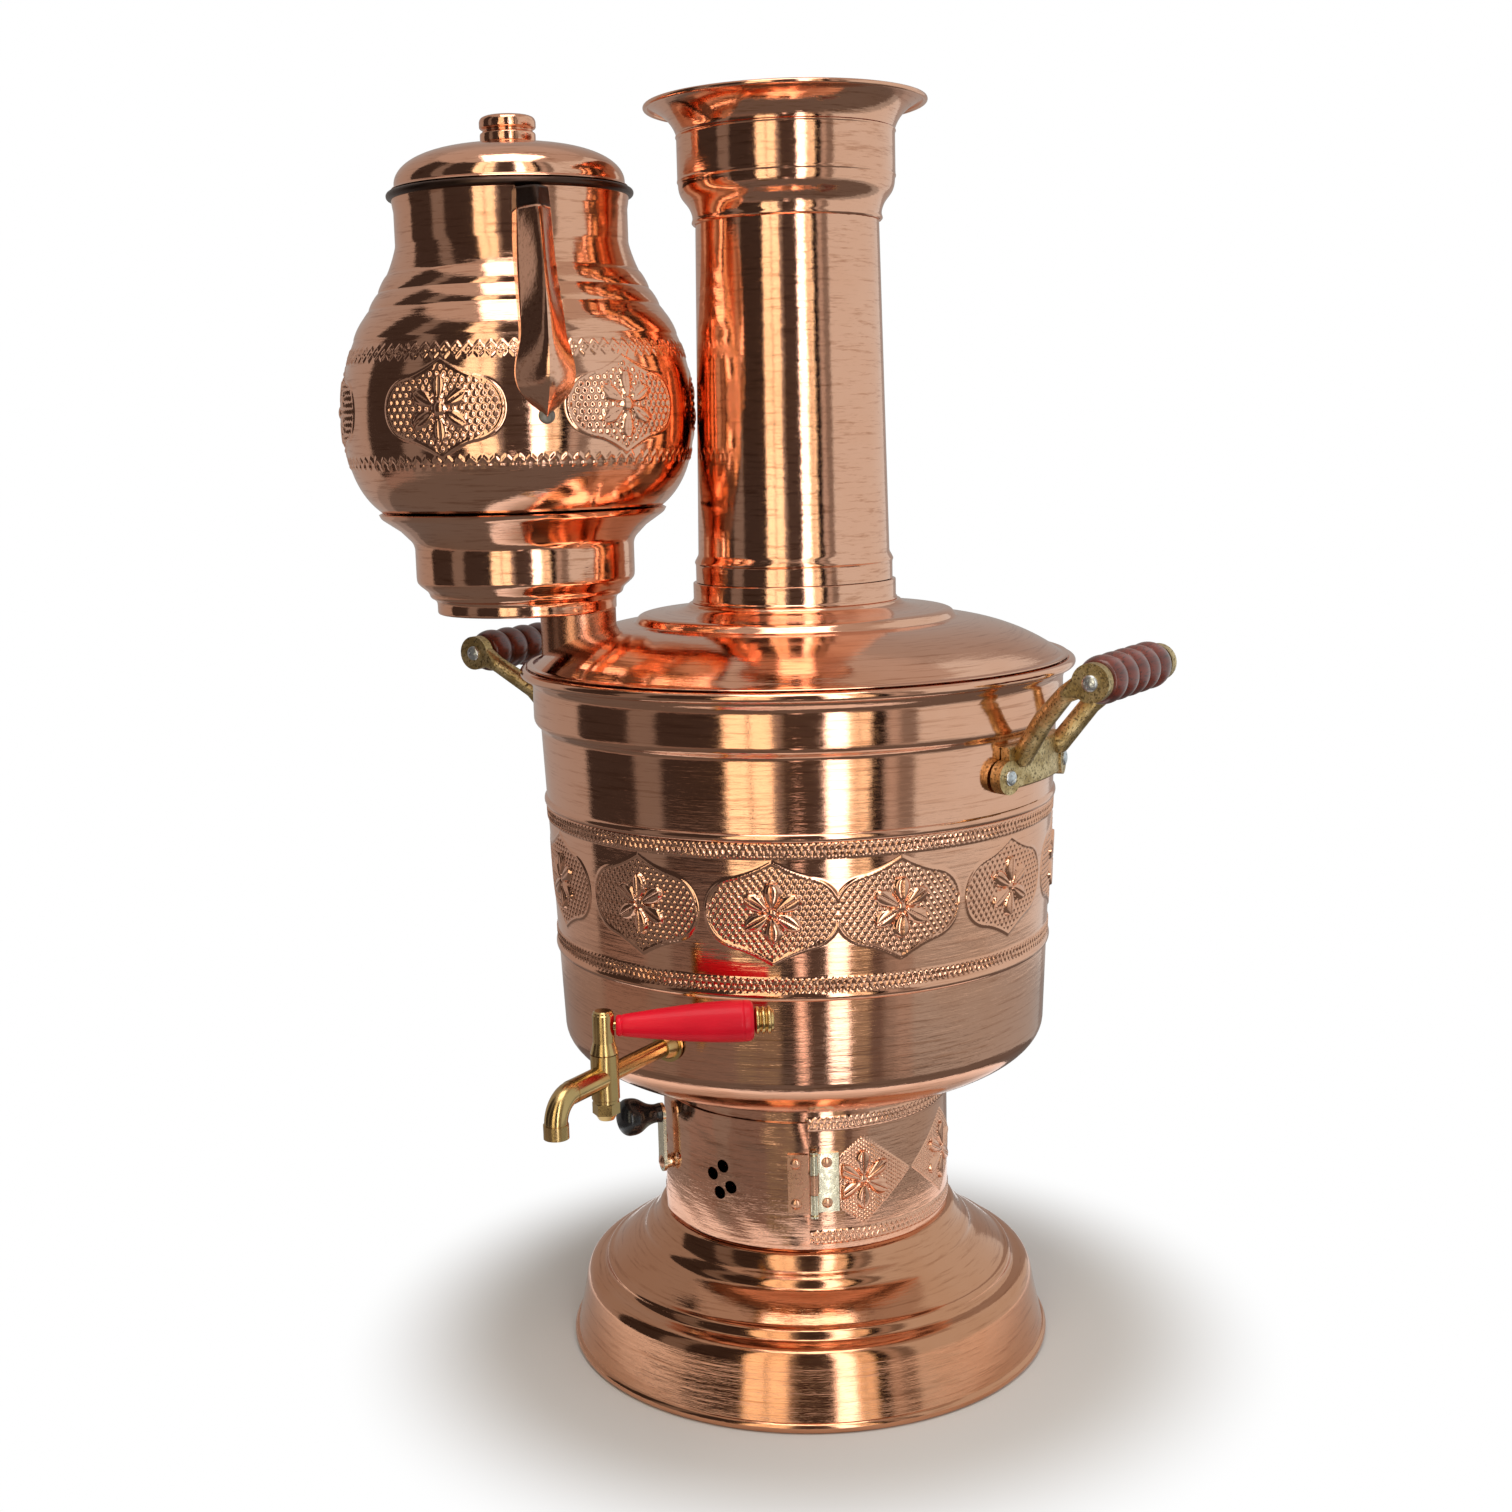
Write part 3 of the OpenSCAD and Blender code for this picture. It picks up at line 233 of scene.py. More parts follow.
# %% Recipes for grips and knob
def lacquer(name, colour):
    m = Recipe(name)
    place = m.place()
    tint = m.mix(m.ramp(m.noise(place, 40.0, 3.0), 0.3, 0.8), colour, shaded(colour, 0.8))
    return m.surface(tint, 0.42, m.bump(m.noise(place, 260.0, 2.0), 0.00012, 0.4),
                     Specular_IOR_Level=0.22, Coat_Weight=0.10, Coat_Roughness=0.12)


def varnished_wood(name, light=(0.20, 0.030, 0.014), dark=(0.085, 0.014, 0.008),
                   pore=(0.020, 0.006, 0.005)):
    m = Recipe(name)
    along = m.add("Mapping", Vector=m.place(), Scale=(1.0, 0.07, 1.0))
    grain = m.noise(along, 1300.0, 4.0, 0.6)
    tone = m.mix(m.ramp(m.noise(along, 160.0, 2.0), 0.35, 0.7), light, dark)
    return m.surface(m.mix(m.ramp(grain, 0.5, 0.72), tone, pore), 0.34,
                     m.bump(grain, 0.0001, 0.5), Coat_Weight=0.5, Coat_Roughness=0.12)


def moulded(name, colour, rough):
    m = Recipe(name)
    scratch = m.noise(m.add("Mapping", Vector=m.place(), Scale=(1.0, 1.0, 6.0)), 700.0, 3.0)
    return m.surface((*colour, 1), m.ramp(scratch, 0.3, 0.7, rough, rough + 0.14),
                     m.bump(scratch, 0.00004, 0.5))


RED = lacquer("red_lacquer", (0.86, 0.004, 0.026))
WOOD = varnished_wood("varnished_wood")
BLACK = moulded("black_plastic", (0.012, 0.012, 0.014), 0.14)
RUBBER = moulded("black_rubber", (0.03, 0.03, 0.03), 0.6)
print("grips and knob:", RED.name, WOOD.name, BLACK.name)

# %% [markdown]
# ## Lines for turned pieces
# A spun or turned piece is one line swung round an axis. Blender's Screw modifier could
# swing it, but a mesh made here can also be embossed corner by corner. Two helpers draw
# the line: a smooth curve, and a softener that rounds every corner as a spinning tool
# does. Round corners matter on polished metal, because each catches a line of light.

# %% Curves and round corners
def curve(a, b, c, d, steps=10):
    """A smooth line from a to d, pulled towards b and c."""
    a, b, c, d = map(np.array, (a, b, c, d))
    t = np.linspace(0, 1, steps + 1)[:, None]
    s = 1 - t
    return [tuple(p) for p in s**3 * a + 3 * s * s * t * b + 3 * s * t * t * c + t**3 * d]


def soften(path, radius, steps=5):
    """Rounds the corners of a line. Bends of a few degrees stay as they are."""
    points = [np.array(p, float) for p in path]
    points = [p for i, p in enumerate(points) if i == 0 or np.linalg.norm(p - points[i - 1]) > 0.02]
    line = [points[0]]
    for before, corner, after in zip(points, points[1:], points[2:]):
        back, on = before - corner, after - corner
        lengths = np.linalg.norm(back), np.linalg.norm(on)
        back, on = back / lengths[0], on / lengths[1]
        if back @ on < -0.97:
            line.append(corner)
            continue
        first = corner + back * min(radius, 0.45 * lengths[0])
        last = corner + on * min(radius, 0.45 * lengths[1])
        for t in np.linspace(0, 1, steps + 1):
            line.append((1 - t) ** 2 * first + 2 * t * (1 - t) * corner + t * t * last)
    return [tuple(p) for p in line + [points[-1]]]


print("a corner of 90 degrees becomes", len(soften([(0, 0), (9, 0), (9, 9)], 2)) - 2, "points")

# %% [markdown]
# ## Sheets, tubes and rolls
# A drawn line is only the outer face of the copper. The sheet is a millimetre thick, and
# its free edges are rolled over a wire. Solidify could add the thickness later, but a
# line that comes back along the inside closes the mesh at once, and it stays one ring.

# %% Lines round sheets, tubes and rolls
WALL = 1.0


def placed(path, radius, height):
    """The same line moved out and up."""
    return [(r + radius, z + height) for r, z in path]


def inset(path, by):
    """The same line moved to its left."""
    points = np.array(path, float)
    step = np.gradient(points, axis=0)
    step /= np.linalg.norm(step, axis=1)[:, None] + 1e-12
    return [tuple(p) for p in points + np.column_stack([-step[:, 1], step[:, 0]]) * by]


def even(path, gap):
    """The same line with points no further apart than gap."""
    out = [path[0]]
    for a, b in zip(path, path[1:]):
        parts = max(1, math.ceil(math.dist(a, b) / gap))
        out += [tuple(np.array(a) + (np.array(b) - np.array(a)) * i / parts)
                for i in range(1, parts + 1)]
    return out


def sheet_line(path, wall=WALL):
    """The closed line round a sheet whose outer face follows the path."""
    return list(path) + inset(path, wall)[::-1]


def tube_line(radius, low, high, wall=WALL):
    """The closed line round the wall of a plain tube, from its outer radius."""
    return [(radius, low), (radius, high), (radius - wall, high), (radius - wall, low)]


def roll_line(radius, height, wire, flat=0.0):
    """The round line of a rolled edge, cut off level at the height flat."""
    ring = [(radius + wire * math.cos(a), height + wire * math.sin(a))
            for a in np.linspace(0, 2 * math.pi, 28, endpoint=False)]
    return [(r, max(z, flat)) for r, z in ring]


print("a tube has", len(tube_line(10, 0, 5)), "points and a roll", len(roll_line(10, 0, 2)))

# %% [markdown]
# ## From lines to pieces
# A line becomes a grid of corners: its own points one way and the steps of the turn the
# other. A ready-made cylinder would have to be bent into shape; a grid takes any line,
# and its faces are found by counting.

# %% Meshes from grids
def to_object(name, corners, faces, material, smooth_under=38.0):
    """A mesh object from corners in millimetres, with seams closed and faces outward."""
    mesh = bpy.data.meshes.new(name)
    mesh.from_pydata(np.asarray(corners, float) * MM, [], faces)
    work = bmesh.new()
    work.from_mesh(mesh)
    bmesh.ops.remove_doubles(work, verts=work.verts, dist=0.002 * MM)
    bmesh.ops.recalc_face_normals(work, faces=work.faces)
    work.to_mesh(mesh)
    work.free()
    mesh.shade_smooth()
    mesh.set_sharp_from_angle(angle=math.radians(smooth_under))
    mesh.materials.append(material)
    piece = bpy.data.objects.new(name, mesh)
    bpy.context.scene.collection.objects.link(piece)
    return piece


def grid_faces(columns, rows, close_columns, close_rows):
    """The four-sided faces between columns and rows of corners, counted by column."""
    c = np.arange(columns if close_columns else columns - 1)
    r = np.arange(rows if close_rows else rows - 1)
    c, r = np.meshgrid(c, r, indexing="ij")
    c2, r2 = (c + 1) % columns, (r + 1) % rows
    quads = np.stack([c * rows + r, c2 * rows + r, c2 * rows + r2, c * rows + r2], -1)
    return quads.reshape(-1, 4).tolist()


print("a tube of 3 columns and 4 rows has", len(grid_faces(3, 4, True, True)), "faces")

# %% [markdown]
# ## Turning and seating
# Spinning swings the line round an upright axis, and a die can press into it on the way.
# Each piece then rides on its body, so that it moves with the joint, and stands for the
# plain solids that it covers. Parenting by hand would do the same one piece at a time;
# one call per piece is harder to forget.

# %% Turned pieces and their seats
def turned(name, outline, material, axis=(0, 0), columns=192, lift=None, closed=True):
    """Swings a line of (radius, height) round an upright axis. lift(turn, height, row) gives
    extra radius for embossing, in millimetres; turn is in degrees from the tap to the right."""
    line = np.array(outline, float)
    turn = np.arange(columns) * 360.0 / columns
    reach = np.broadcast_to(line[:, 0], (columns, len(line))).copy()
    if lift:
        reach += lift(turn[:, None], line[None, :, 1], np.arange(len(line))[None, :])
    angle = np.radians(turn)[:, None]
    x = axis[0] + reach * np.sin(angle)
    y = axis[1] - reach * np.cos(angle)
    z = np.broadcast_to(line[:, 1], reach.shape)
    corners = np.stack([x, y, z], -1).reshape(-1, 3)
    return to_object(name, corners, grid_faces(columns, len(line), True, closed), material)


def seat(piece, body, slot, *nodes):
    """Puts a piece on its body and hides the plain solids it stands for. The slot is not used."""
    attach(piece, body)
    if nodes:
        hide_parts(*nodes)
    return piece


def spin_on(body, name, outline, *nodes, material=COPPER, **how):
    """Turns a copper piece round an upright axis and seats it on its body."""
    return seat(turned(name, outline, material, **how), body, "copper", *nodes)


print("a full turn of 192 columns steps", 360 / 192, "degrees")

# %% [markdown]
# ## The foot
# The foot is spun in one piece: a splayed skirt, two steps, a hollow and a roll where it
# stands. It could be modelled from a cone with loop cuts, but a spinner works from the
# line of the form, and so does this. The line is given as shares of the way out from the
# neck and of the foot's height. Its copper is painted browner and darker, as shade for the dark
# ground that it reflects.

# %% Foot
NECK_R, FOOT_R, FOOT_H, FOOT_ROLL = 66.3, 112.0, 63.0, 2.5
foot_shares = (
    curve((0.969, 0.054), (0.917, 0.198), (0.882, 0.302), (0.849, 0.468))
    + [(0.812, 0.52), (0.759, 0.54), (0.683, 0.549), (0.654, 0.56), (0.641, 0.58),
       (0.635, 0.608), (0.61, 0.622), (0.573, 0.629)]
    + curve((0.53, 0.654), (0.442, 0.705), (0.365, 0.743), (0.267, 0.781))
    + [(0.238, 0.8), (0.221, 0.832), (0.195, 0.854)]
    + curve((0.147, 0.883), (0.114, 0.914), (0.085, 0.952), (0.063, 0.981), 5)
    + [(0.037, 0.994), (0.004, 1)])
foot_line = [(NECK_R + (FOOT_R - NECK_R) * out, FOOT_H * up) for out, up in foot_shares]
foot = spin_on("root", "foot", sheet_line(soften(foot_line + [(NECK_R - 3, FOOT_H)], 1.6)),
               "foot_shell", material=COPPER_FOOT_SHADE, columns=256)
spin_on("root", "foot_roll", roll_line(FOOT_R - FOOT_ROLL, FOOT_ROLL * 0.9, FOOT_ROLL),
        material=COPPER_FOOT_SHADE, columns=256)
print("foot faces:", len(foot.data.polygons))

# %% [markdown]
# ## Embossed bands
# The bands are pressed with steel dies: a flower in a pointed frame, on a ground of small
# dots, between two crossed borders. Painting them as bump would leave the outline
# smooth, and sculpting would make each mark different. So they are real geometry from a
# formula: a height is worked out for every corner of a fine mesh. u runs round the wall
# and v runs up, both in millimetres from the middle of the nearest die mark.

# %% Frames of the die marks
def step_up(value, low, high):
    t = np.clip((value - low) / (high - low), 0, 1)
    return t * t * (3 - 2 * t)


def ridge(distance, width):
    return np.exp(-(distance / width) ** 2)


def ogee_edge(u, v, half_w, body, cusp, cusp_w):
    """Distance inside a frame with round sides and pointed tips above and below."""
    def inside(a, b):
        tip = cusp * np.clip(1 - a / cusp_w, 0, 1) ** 1.5
        return 1 - (a / half_w) ** 4 - (np.clip(b - tip, 0, None) / body) ** 2
    a, b = np.abs(u), np.abs(v)
    slope = np.hypot(inside(a + 0.05, b) - inside(a - 0.05, b),
                     inside(a, b + 0.05) - inside(a, b - 0.05)) / 0.1
    return inside(a, b) / np.maximum(slope, 0.03)


def diamond_edge(u, v, half_w, half_h):
    """Distance inside a frame with four straight sides."""
    return (1 - np.abs(u) / half_w - np.abs(v) / half_h) / math.hypot(1 / half_w, 1 / half_h)


print("a diamond's middle lies", round(diamond_edge(0, 0, 25.8, 20.8), 1), "mm from its sides")

# %% [markdown]
# ## The flower
# Each mark holds six creased petals round a boss. They could be drawn as one outline,
# but a petal is the same shape six times, so a loop turns it round the middle and keeps
# whatever stands highest.

# %% The flower
def flower(u, v, reach, petal_w, boss, height):
    """Six petals, one straight up, each with a crease, and a boss in the middle."""
    total = boss * 0.5 * np.sqrt(np.clip(1 - (u * u + v * v) / boss**2, 0, 1))
    reach_in = boss * 0.9
    middle, half = (reach + reach_in) / 2, (reach - reach_in) / 2
    cover = np.clip(1.25 - np.hypot(u, v) / boss, 0, 1)
    for k in range(6):
        a = math.radians(90 + 60 * k)
        along = u * math.cos(a) + v * math.sin(a)
        across = -u * math.sin(a) + v * math.cos(a)
        place = np.clip((along - middle) / half, -1, 1)
        width = petal_w * np.sqrt(1 - place**2) * (1 + 0.28 * place)
        inside = np.clip(1 - (across / np.maximum(width, 0.05)) ** 2, 0, 1)
        dome = height * np.sqrt(inside) * (1 - 0.4 * ridge(across, 0.35)) * (np.abs(place) < 1)
        total = np.maximum(total, dome)
        cover = np.maximum(cover, step_up(inside, 0.0, 0.3) * (np.abs(place) < 1))
    return total, cover


petal, _ = flower(np.array(0.0), np.array(7.0), 12.8, 3.3, 2.1, 1.7)
print("height of a petal near its middle:", round(float(petal), 2))

# %% [markdown]
# ## Grounds and borders
# Round the flowers the die leaves small dots or a net of thin lines, and borders of
# crosses and peaks run beside the marks. Each dot could be a copy of a small ball, but
# there are thousands. A wave that repeats by itself needs no copies, only a pitch.

# %% Grounds and borders
def dots(u, v, across, rise, height, blunt):
    """Staggered rows of small raised dots; a low value of blunt makes them wide."""
    a, b = (u / across + v / rise) * math.pi, (u / across - v / rise) * math.pi
    return height * ((np.cos(a) * np.cos(b)) ** 2) ** blunt


def lattice(u, v, across, rise, height):
    """Thin raised lines that cross."""
    lines = [np.abs((u / across + way * v / rise + 0.5) % 1 - 0.5) for way in (1, -1)]
    return height * ridge(np.minimum(*lines), 0.17)


def peaks(u, pitch):
    """A straight-sided wave between -1 and 1."""
    return np.abs(((u / pitch) % 1) * 2 - 1) * 2 - 1


def crossed(u, v, half_h, pitch, height):
    """A border of crosses between two lines; v is measured from the border's middle."""
    wave = peaks(u, pitch)
    legs = np.minimum(np.abs(v - wave * half_h), np.abs(v + wave * half_h)) * 0.75
    rails = np.minimum(np.abs(v - half_h), np.abs(v + half_h))
    near = step_up(half_h + 0.7 - np.abs(v), 0, 0.4)
    return height * near * np.maximum(ridge(legs, 0.62), 0.5 * ridge(rails, 0.4))


def zigzag(u, v, half_h, pitch, height):
    """A line of small peaks."""
    line = ridge((v - peaks(u, pitch) * half_h) * 0.6, 0.42)
    return height * line * (np.abs(v) < half_h + 1)


def spots(u, v, pitch, size, height):
    """A row of single dots."""
    return height * ridge(np.hypot((u / pitch % 1 - 0.5) * pitch, v), size)


def to_nearest(turn, centres):
    """Degrees from the nearest die mark."""
    gaps = (turn[..., None] - np.array(centres) + 180) % 360 - 180
    return np.take_along_axis(gaps, np.abs(gaps).argmin(-1)[..., None], -1)[..., 0]


print("one wave of peaks:", peaks(np.arange(0, 1, 0.25), 1.0))

# %% [markdown]
# ## The tank
# Twelve marks go round the tank. They were set by eye, so the spacing of the first few
# is uneven, and it is kept. Two round beads stiffen the wall above and below the band.
# Wall, bowl, beads and marks could be separate pieces, but the real sheet flows through
# all of them, so one line and one height formula make the whole. The rim is rolled over
# a wire, which is a ring of its own.

# %% Tank
TANK_Z, TANK_H, RIM_R, RIM_WIRE, BAND_R = 127.0, 190.0, 125.0, 2.2, 119.5
TANK_LOW_R, TANK_HIGH_R, FIRE_R = 110.5, 116.4, 52.8
SHOULDER_Z, STEP_Z, RIM_Z = TANK_Z + 27.0, TANK_Z + TANK_H - 26.5, TANK_Z + TANK_H
BEADS, BEAD_OUT, BEAD_HALF = (TANK_Z + 65.5, TANK_Z + 132.0), 1.2, 1.83
MARKS = [-5.5, 24.6, 51.6] + [81.5 + 30.3 * k for k in range(9)]
MARK_R, MARK_Z, BORDERS, BAND_Z, BAND_HALF = 113.6, 228.0, (253.8, 197.3), 225.7, 32.0


def tank_wall(z):
    """Radius of the plain wall between the shoulder and the step."""
    return TANK_LOW_R + (TANK_HIGH_R - TANK_LOW_R) * (z - SHOULDER_Z) / (STEP_Z - SHOULDER_Z)


tank_line = (
    [(FIRE_R + 0.05, TANK_Z)]
    + curve((NECK_R + 0.7, TANK_Z), (NECK_R + 18.7, TANK_Z + 6.5),
            (TANK_LOW_R - 1, TANK_Z + 12.5), (TANK_LOW_R, SHOULDER_Z), 22)
    + [(tank_wall(z), z) for z in np.arange(SHOULDER_Z, STEP_Z, 0.5)][1:]
    + curve((TANK_HIGH_R, STEP_Z), (TANK_HIGH_R, STEP_Z + 3),
            (BAND_R, STEP_Z + 2.5), (BAND_R, STEP_Z + 6.5), 12)
    + curve((BAND_R, RIM_Z - 7.5), (BAND_R, RIM_Z - 4),
            (RIM_R - RIM_WIRE - 1, RIM_Z - 4.5), (RIM_R - RIM_WIRE - 0.5, RIM_Z), 10))


def tank_emboss(turn, z, row):
    u, v = np.radians(to_nearest(turn + 0 * z, MARKS)) * MARK_R, z - MARK_Z
    edge = ogee_edge(u, v, 27.6, 15.0, 6.0, 15.0)
    petals, cover = flower(u, v, 12.8, 3.3, 2.1, 1.7)
    ground = (1 - cover) * dots(u, v, 3.1, 4.4, 0.62, 0.8)
    marks = 0.5 * ridge(edge, 0.6) + step_up(edge, 0.7, 1.5) * np.maximum(petals, ground)
    for middle in BORDERS:
        border = crossed(np.radians(turn) * MARK_R, z - middle, 2.6, 5.45, 0.62)
        marks = np.maximum(marks, border)
    beads = sum(BEAD_OUT * np.sqrt(np.clip(1 - ((z - b) / BEAD_HALF) ** 2, 0, 1))
                for b in BEADS)
    return (marks * (np.abs(z - BAND_Z) < BAND_HALF) + beads) * (row < len(tank_line))


tank = spin_on("root", "tank", sheet_line(tank_line), "tank_shell", "tank_bowl",
               columns=1600, lift=tank_emboss)
spin_on("root", "tank_rim", roll_line(RIM_R - RIM_WIRE, RIM_Z, RIM_WIRE), columns=256)
print("tank faces:", len(tank.data.polygons), "rows:", len(tank_line))

# %% [markdown]
# ## The marks of the neck
# The neck carries the same crossed borders with flowers in straight-sided diamonds, and
# is left plain under the hinge leaf and the door. The die marks could be cut off there
# afterwards; here the height fades to nothing where the sheet has to lie flat.

# %% The neck's marks
NECK_TOP = FOOT_H + 64.0
DOOR_TURNS = (-43.5, 31.3)
OPEN_TURNS, OPEN_Z = (-40.9, 30.0), (68.0, 120.5)
HINGE_TURN, HINGE_Z, HINGE_H = 33.2, FOOT_H + 18, 27.0
LEAF_TURN, LEAF_MIDDLE = HINGE_TURN + 5.4, HINGE_Z + HINGE_H / 2
NECK_MARKS = [52.6 + 45 * k for k in range(8)]
NECK_MARK_Z, NECK_BORDERS = 94.0, (68.9, 121.2)


def neck_emboss(turn, z):
    u, v = np.radians(to_nearest(turn + 0 * z, NECK_MARKS)) * NECK_R, z - NECK_MARK_Z
    petals, cover = flower(u, v, 13.4, 3.1, 2.1, 1.6)
    ground = (1 - cover) * lattice(u, v, 2.5, 1.9, 0.36)
    marks = step_up(diamond_edge(u, v, 25.8, 20.8), 0.0, 0.8) * np.maximum(petals, ground)
    for middle in NECK_BORDERS:
        border = crossed(np.radians(turn) * NECK_R, z - middle, 2.5, 5.6, 0.36)
        marks = np.maximum(marks, border)
    clear_of_leaf = (step_up(np.abs(turn - LEAF_TURN), 4.9, 5.8)
                     + step_up(np.abs(z - LEAF_MIDDLE), 14.6, 15.4))
    clear_of_door = step_up((turn - DOOR_TURNS[0]) % 360, 73.5, 76.5)
    return marks * np.clip(clear_of_leaf, 0, 1) * clear_of_door


print("neck marks:", len(NECK_MARKS))

# %% [markdown]
# ## The neck
# The neck is a short rolled tube, cut away where the fire door hangs. A Boolean cut would
# be slow and rough on so fine a mesh. So the shell is built as one surface with the faces
# of the opening left out, and Solidify gives the sheet its thickness.

# %% Neck
def curved_sheet(name, radius, turns, heights, wall, material, keep=None, lift=None):
    """A bent sheet over a grid of turns and heights; keep(turn, z) leaves cells out."""
    full = abs(turns[-1] - turns[0]) > 359.9
    if full:
        turns = turns[:-1]
    a, z = np.meshgrid(turns, heights, indexing="ij")
    reach = radius + (lift(a, z) if lift else 0 * a)
    corners = np.stack([reach * np.sin(np.radians(a)), -reach * np.cos(np.radians(a)), z], -1)
    faces = grid_faces(len(turns), len(heights), full, False)
    if keep:
        edges = np.append(turns, turns[0] + 360) if full else turns
        cells = [(t, z) for t in (edges[1:] + edges[:-1]) / 2
                 for z in (heights[1:] + heights[:-1]) / 2]
        faces = [face for face, cell in zip(faces, cells) if keep(*cell)]
    piece = to_object(name, corners.reshape(-1, 3), faces, material)
    thick = piece.modifiers.new("sheet", "SOLIDIFY")
    thick.thickness = wall * MM
    thick.offset = -1
    return piece


def in_opening(turn, z):
    turn = (turn + 180) % 360 - 180
    return OPEN_TURNS[0] < turn < OPEN_TURNS[1] and OPEN_Z[0] < z < OPEN_Z[1]


neck_turns = np.concatenate([np.linspace(*OPEN_TURNS, 60),
                             np.linspace(OPEN_TURNS[1], OPEN_TURNS[0] + 360, 1000)[1:]])
neck_heights = np.concatenate([np.linspace(FOOT_H, OPEN_Z[0], 14),
                               np.linspace(*OPEN_Z, 140)[1:],
                               np.linspace(OPEN_Z[1], NECK_TOP, 18)[1:]])
neck = curved_sheet("neck", NECK_R, neck_turns, neck_heights, WALL, COPPER,
                    lambda t, z: not in_opening(t, z), neck_emboss)
seat(neck, "root", "copper", "neck_shell")
print("neck faces:", len(neck.data.polygons))

# %% [markdown]
# ## Turned pieces that lie in any direction
# Knobs, grips and screws are turned too, but round axes that lean. They could be made
# upright and rotated, but then each needs its own angles. Here the corners are worked
# out round the axis itself. The line is (radius, distance along the axis), and a
# direction is a turn round the body, counted in degrees from the tap to the right.

# %% Helpers for leaning pieces
def outward(turn):
    """The direction away from the body's axis at this turn."""
    a = math.radians(turn)
    return Vector((math.sin(a), -math.cos(a), 0))


def at(turn, reach, z):
    return outward(turn) * reach + Vector((0, 0, z))


def spun(name, outline, material, origin, direction, columns=64, lift=None, smooth_under=38.0):
    """Swings a line of (radius, distance) round any axis."""
    line = np.array(outline, float)
    w = Vector(direction).normalized()
    side = Vector((0, 0, 1)) if abs(w.z) < 0.9 else Vector((1, 0, 0))
    u = side.cross(w).normalized()
    v = w.cross(u)
    turn = np.arange(columns) * 2 * math.pi / columns
    along = np.broadcast_to(line[:, 1], (columns, len(line))).copy()
    reach = np.broadcast_to(line[:, 0], along.shape).copy()
    if lift:
        along += lift(turn[:, None], line[None, :, 0], line[None, :, 1])
    a = turn[:, None, None]
    ring = np.cos(a) * np.array(u) + np.sin(a) * np.array(v)
    corners = np.array(origin) + reach[..., None] * ring + along[..., None] * np.array(w)
    shut = line[0, 0] > 1e-6 or line[-1, 0] > 1e-6
    return to_object(name, corners.reshape(-1, 3), grid_faces(columns, len(line), True, shut),
                     material, smooth_under)


def dome(radius, height, rows=14):
    """The line of a low dome from its rim to its middle."""
    return [(radius * math.cos(a), height * math.sin(a)) for a in np.linspace(0, math.pi / 2, rows)]


def screw(name, radius, height, origin, direction, turn=0.3):
    """A raised head with a cross recess, standing on origin."""
    def recess(angle, reach, along):
        u, v = np.abs(reach * np.cos(angle + turn)), np.abs(reach * np.sin(angle + turn))
        deep = step_up(-np.minimum(u, v), -0.62, -0.36) * step_up(-np.maximum(u, v), -2.0, -1.7)
        return -0.85 * deep * (along > height * 0.3)
    rows = [(0, 0), (radius, 0), (radius, height * 0.3)] + [
        (radius * math.cos(a) * 0.97, height * (0.3 + 0.7 * math.sin(a)))
        for a in np.linspace(0.15, math.pi / 2, 30)]
    return spun(name, rows, ZINC, origin, direction, 72, recess)


def rivet_head(name, radius, height, origin, direction):
    """A low dome whose foot is let 0.3 into the sheet."""
    return spun(name, [(0, -0.3), (radius * 0.99, -0.3)] + dome(radius, height), RIVET,
                origin, direction, 40)


print("the tap points along", tuple(round(c, 2) for c in outward(0)))

# %% [markdown]
# ## The fire door
# The door is a strip of the same sheet, cut by hand and bent to the neck. Its edges are
# a little wavy and its face is dented from years of use. Four vent holes let the draught
# in. They could be left out of the grid like the opening of the neck, but its square
# cells would show; a Boolean cut after the waves are made gives clean round holes, as a
# punch does.

# %% Door
DOOR_OUT = NECK_R + 0.3 + WALL
LATCH_TURN, LATCH_Z, LATCH_L = -37.2, FOOT_H + 27, 23.5
DOOR_SHEET, DENT, DOOR_MIDDLE, VENT_R = 0.62, 0.45, 92.7, 3.0
VENT_TURN = DOOR_TURNS[0] + (DOOR_TURNS[1] - DOOR_TURNS[0]) * 0.53
VENTS = [(1.1, 6.6), (-4.8, 2), (5, -2.5), (-1.1, -6.2)]  # sideways and up, from the middle


def cut(piece, *tools):
    """Cuts the tools out of the piece and throws them away."""
    for tool in tools:
        knife = piece.modifiers.new("knife", "BOOLEAN")
        knife.operation, knife.object, knife.solver = "DIFFERENCE", tool, "EXACT"
    ready = piece.evaluated_get(bpy.context.evaluated_depsgraph_get())
    mesh = bpy.data.meshes.new_from_object(ready)
    piece.modifiers.clear()
    piece.data = mesh
    for tool in tools:
        bpy.data.objects.remove(tool)
    mesh.shade_smooth()
    mesh.set_sharp_from_angle(angle=math.radians(38))


def door_wave(turn, z):
    """Shallow dents between 0 and 1, outwards only, so the running gap stays free."""
    a = turn - DOOR_TURNS[0]
    waves = (0.5 + 0.5 * np.sin(a * 0.171 + 1.1)) * (0.5 + 0.5 * np.sin(z * 0.11 + a * 0.05))
    edge = step_up(np.abs(z - DOOR_MIDDLE), 12, 21) * (0.5 + 0.5 * np.sin(a * 0.31 + z * 0.2))
    return (0.55 * waves + 0.35 * edge) / 0.9


door = curved_sheet("fire_door_sheet", DOOR_OUT - DENT, np.linspace(*DOOR_TURNS, 150),
                    np.linspace(FOOT_H + 2, TANK_Z - 5, 112), DOOR_SHEET, COPPER,
                    lift=lambda t, z: DENT * door_wave(t, z))
punches = []
for i, (side, rise) in enumerate(VENTS):
    start = at(VENT_TURN, NECK_R - 6, FOOT_H + 29 + rise) + outward(VENT_TURN + 90) * side
    punches.append(spun("punch_%d" % i, [(0, 0), (VENT_R, 0), (VENT_R, 12), (0, 12)], COPPER,
                        start, outward(VENT_TURN), 40))
cut(door, *punches)
seat(door, "fire_door", "copper", "fire_door")
print("door faces:", len(door.data.polygons))

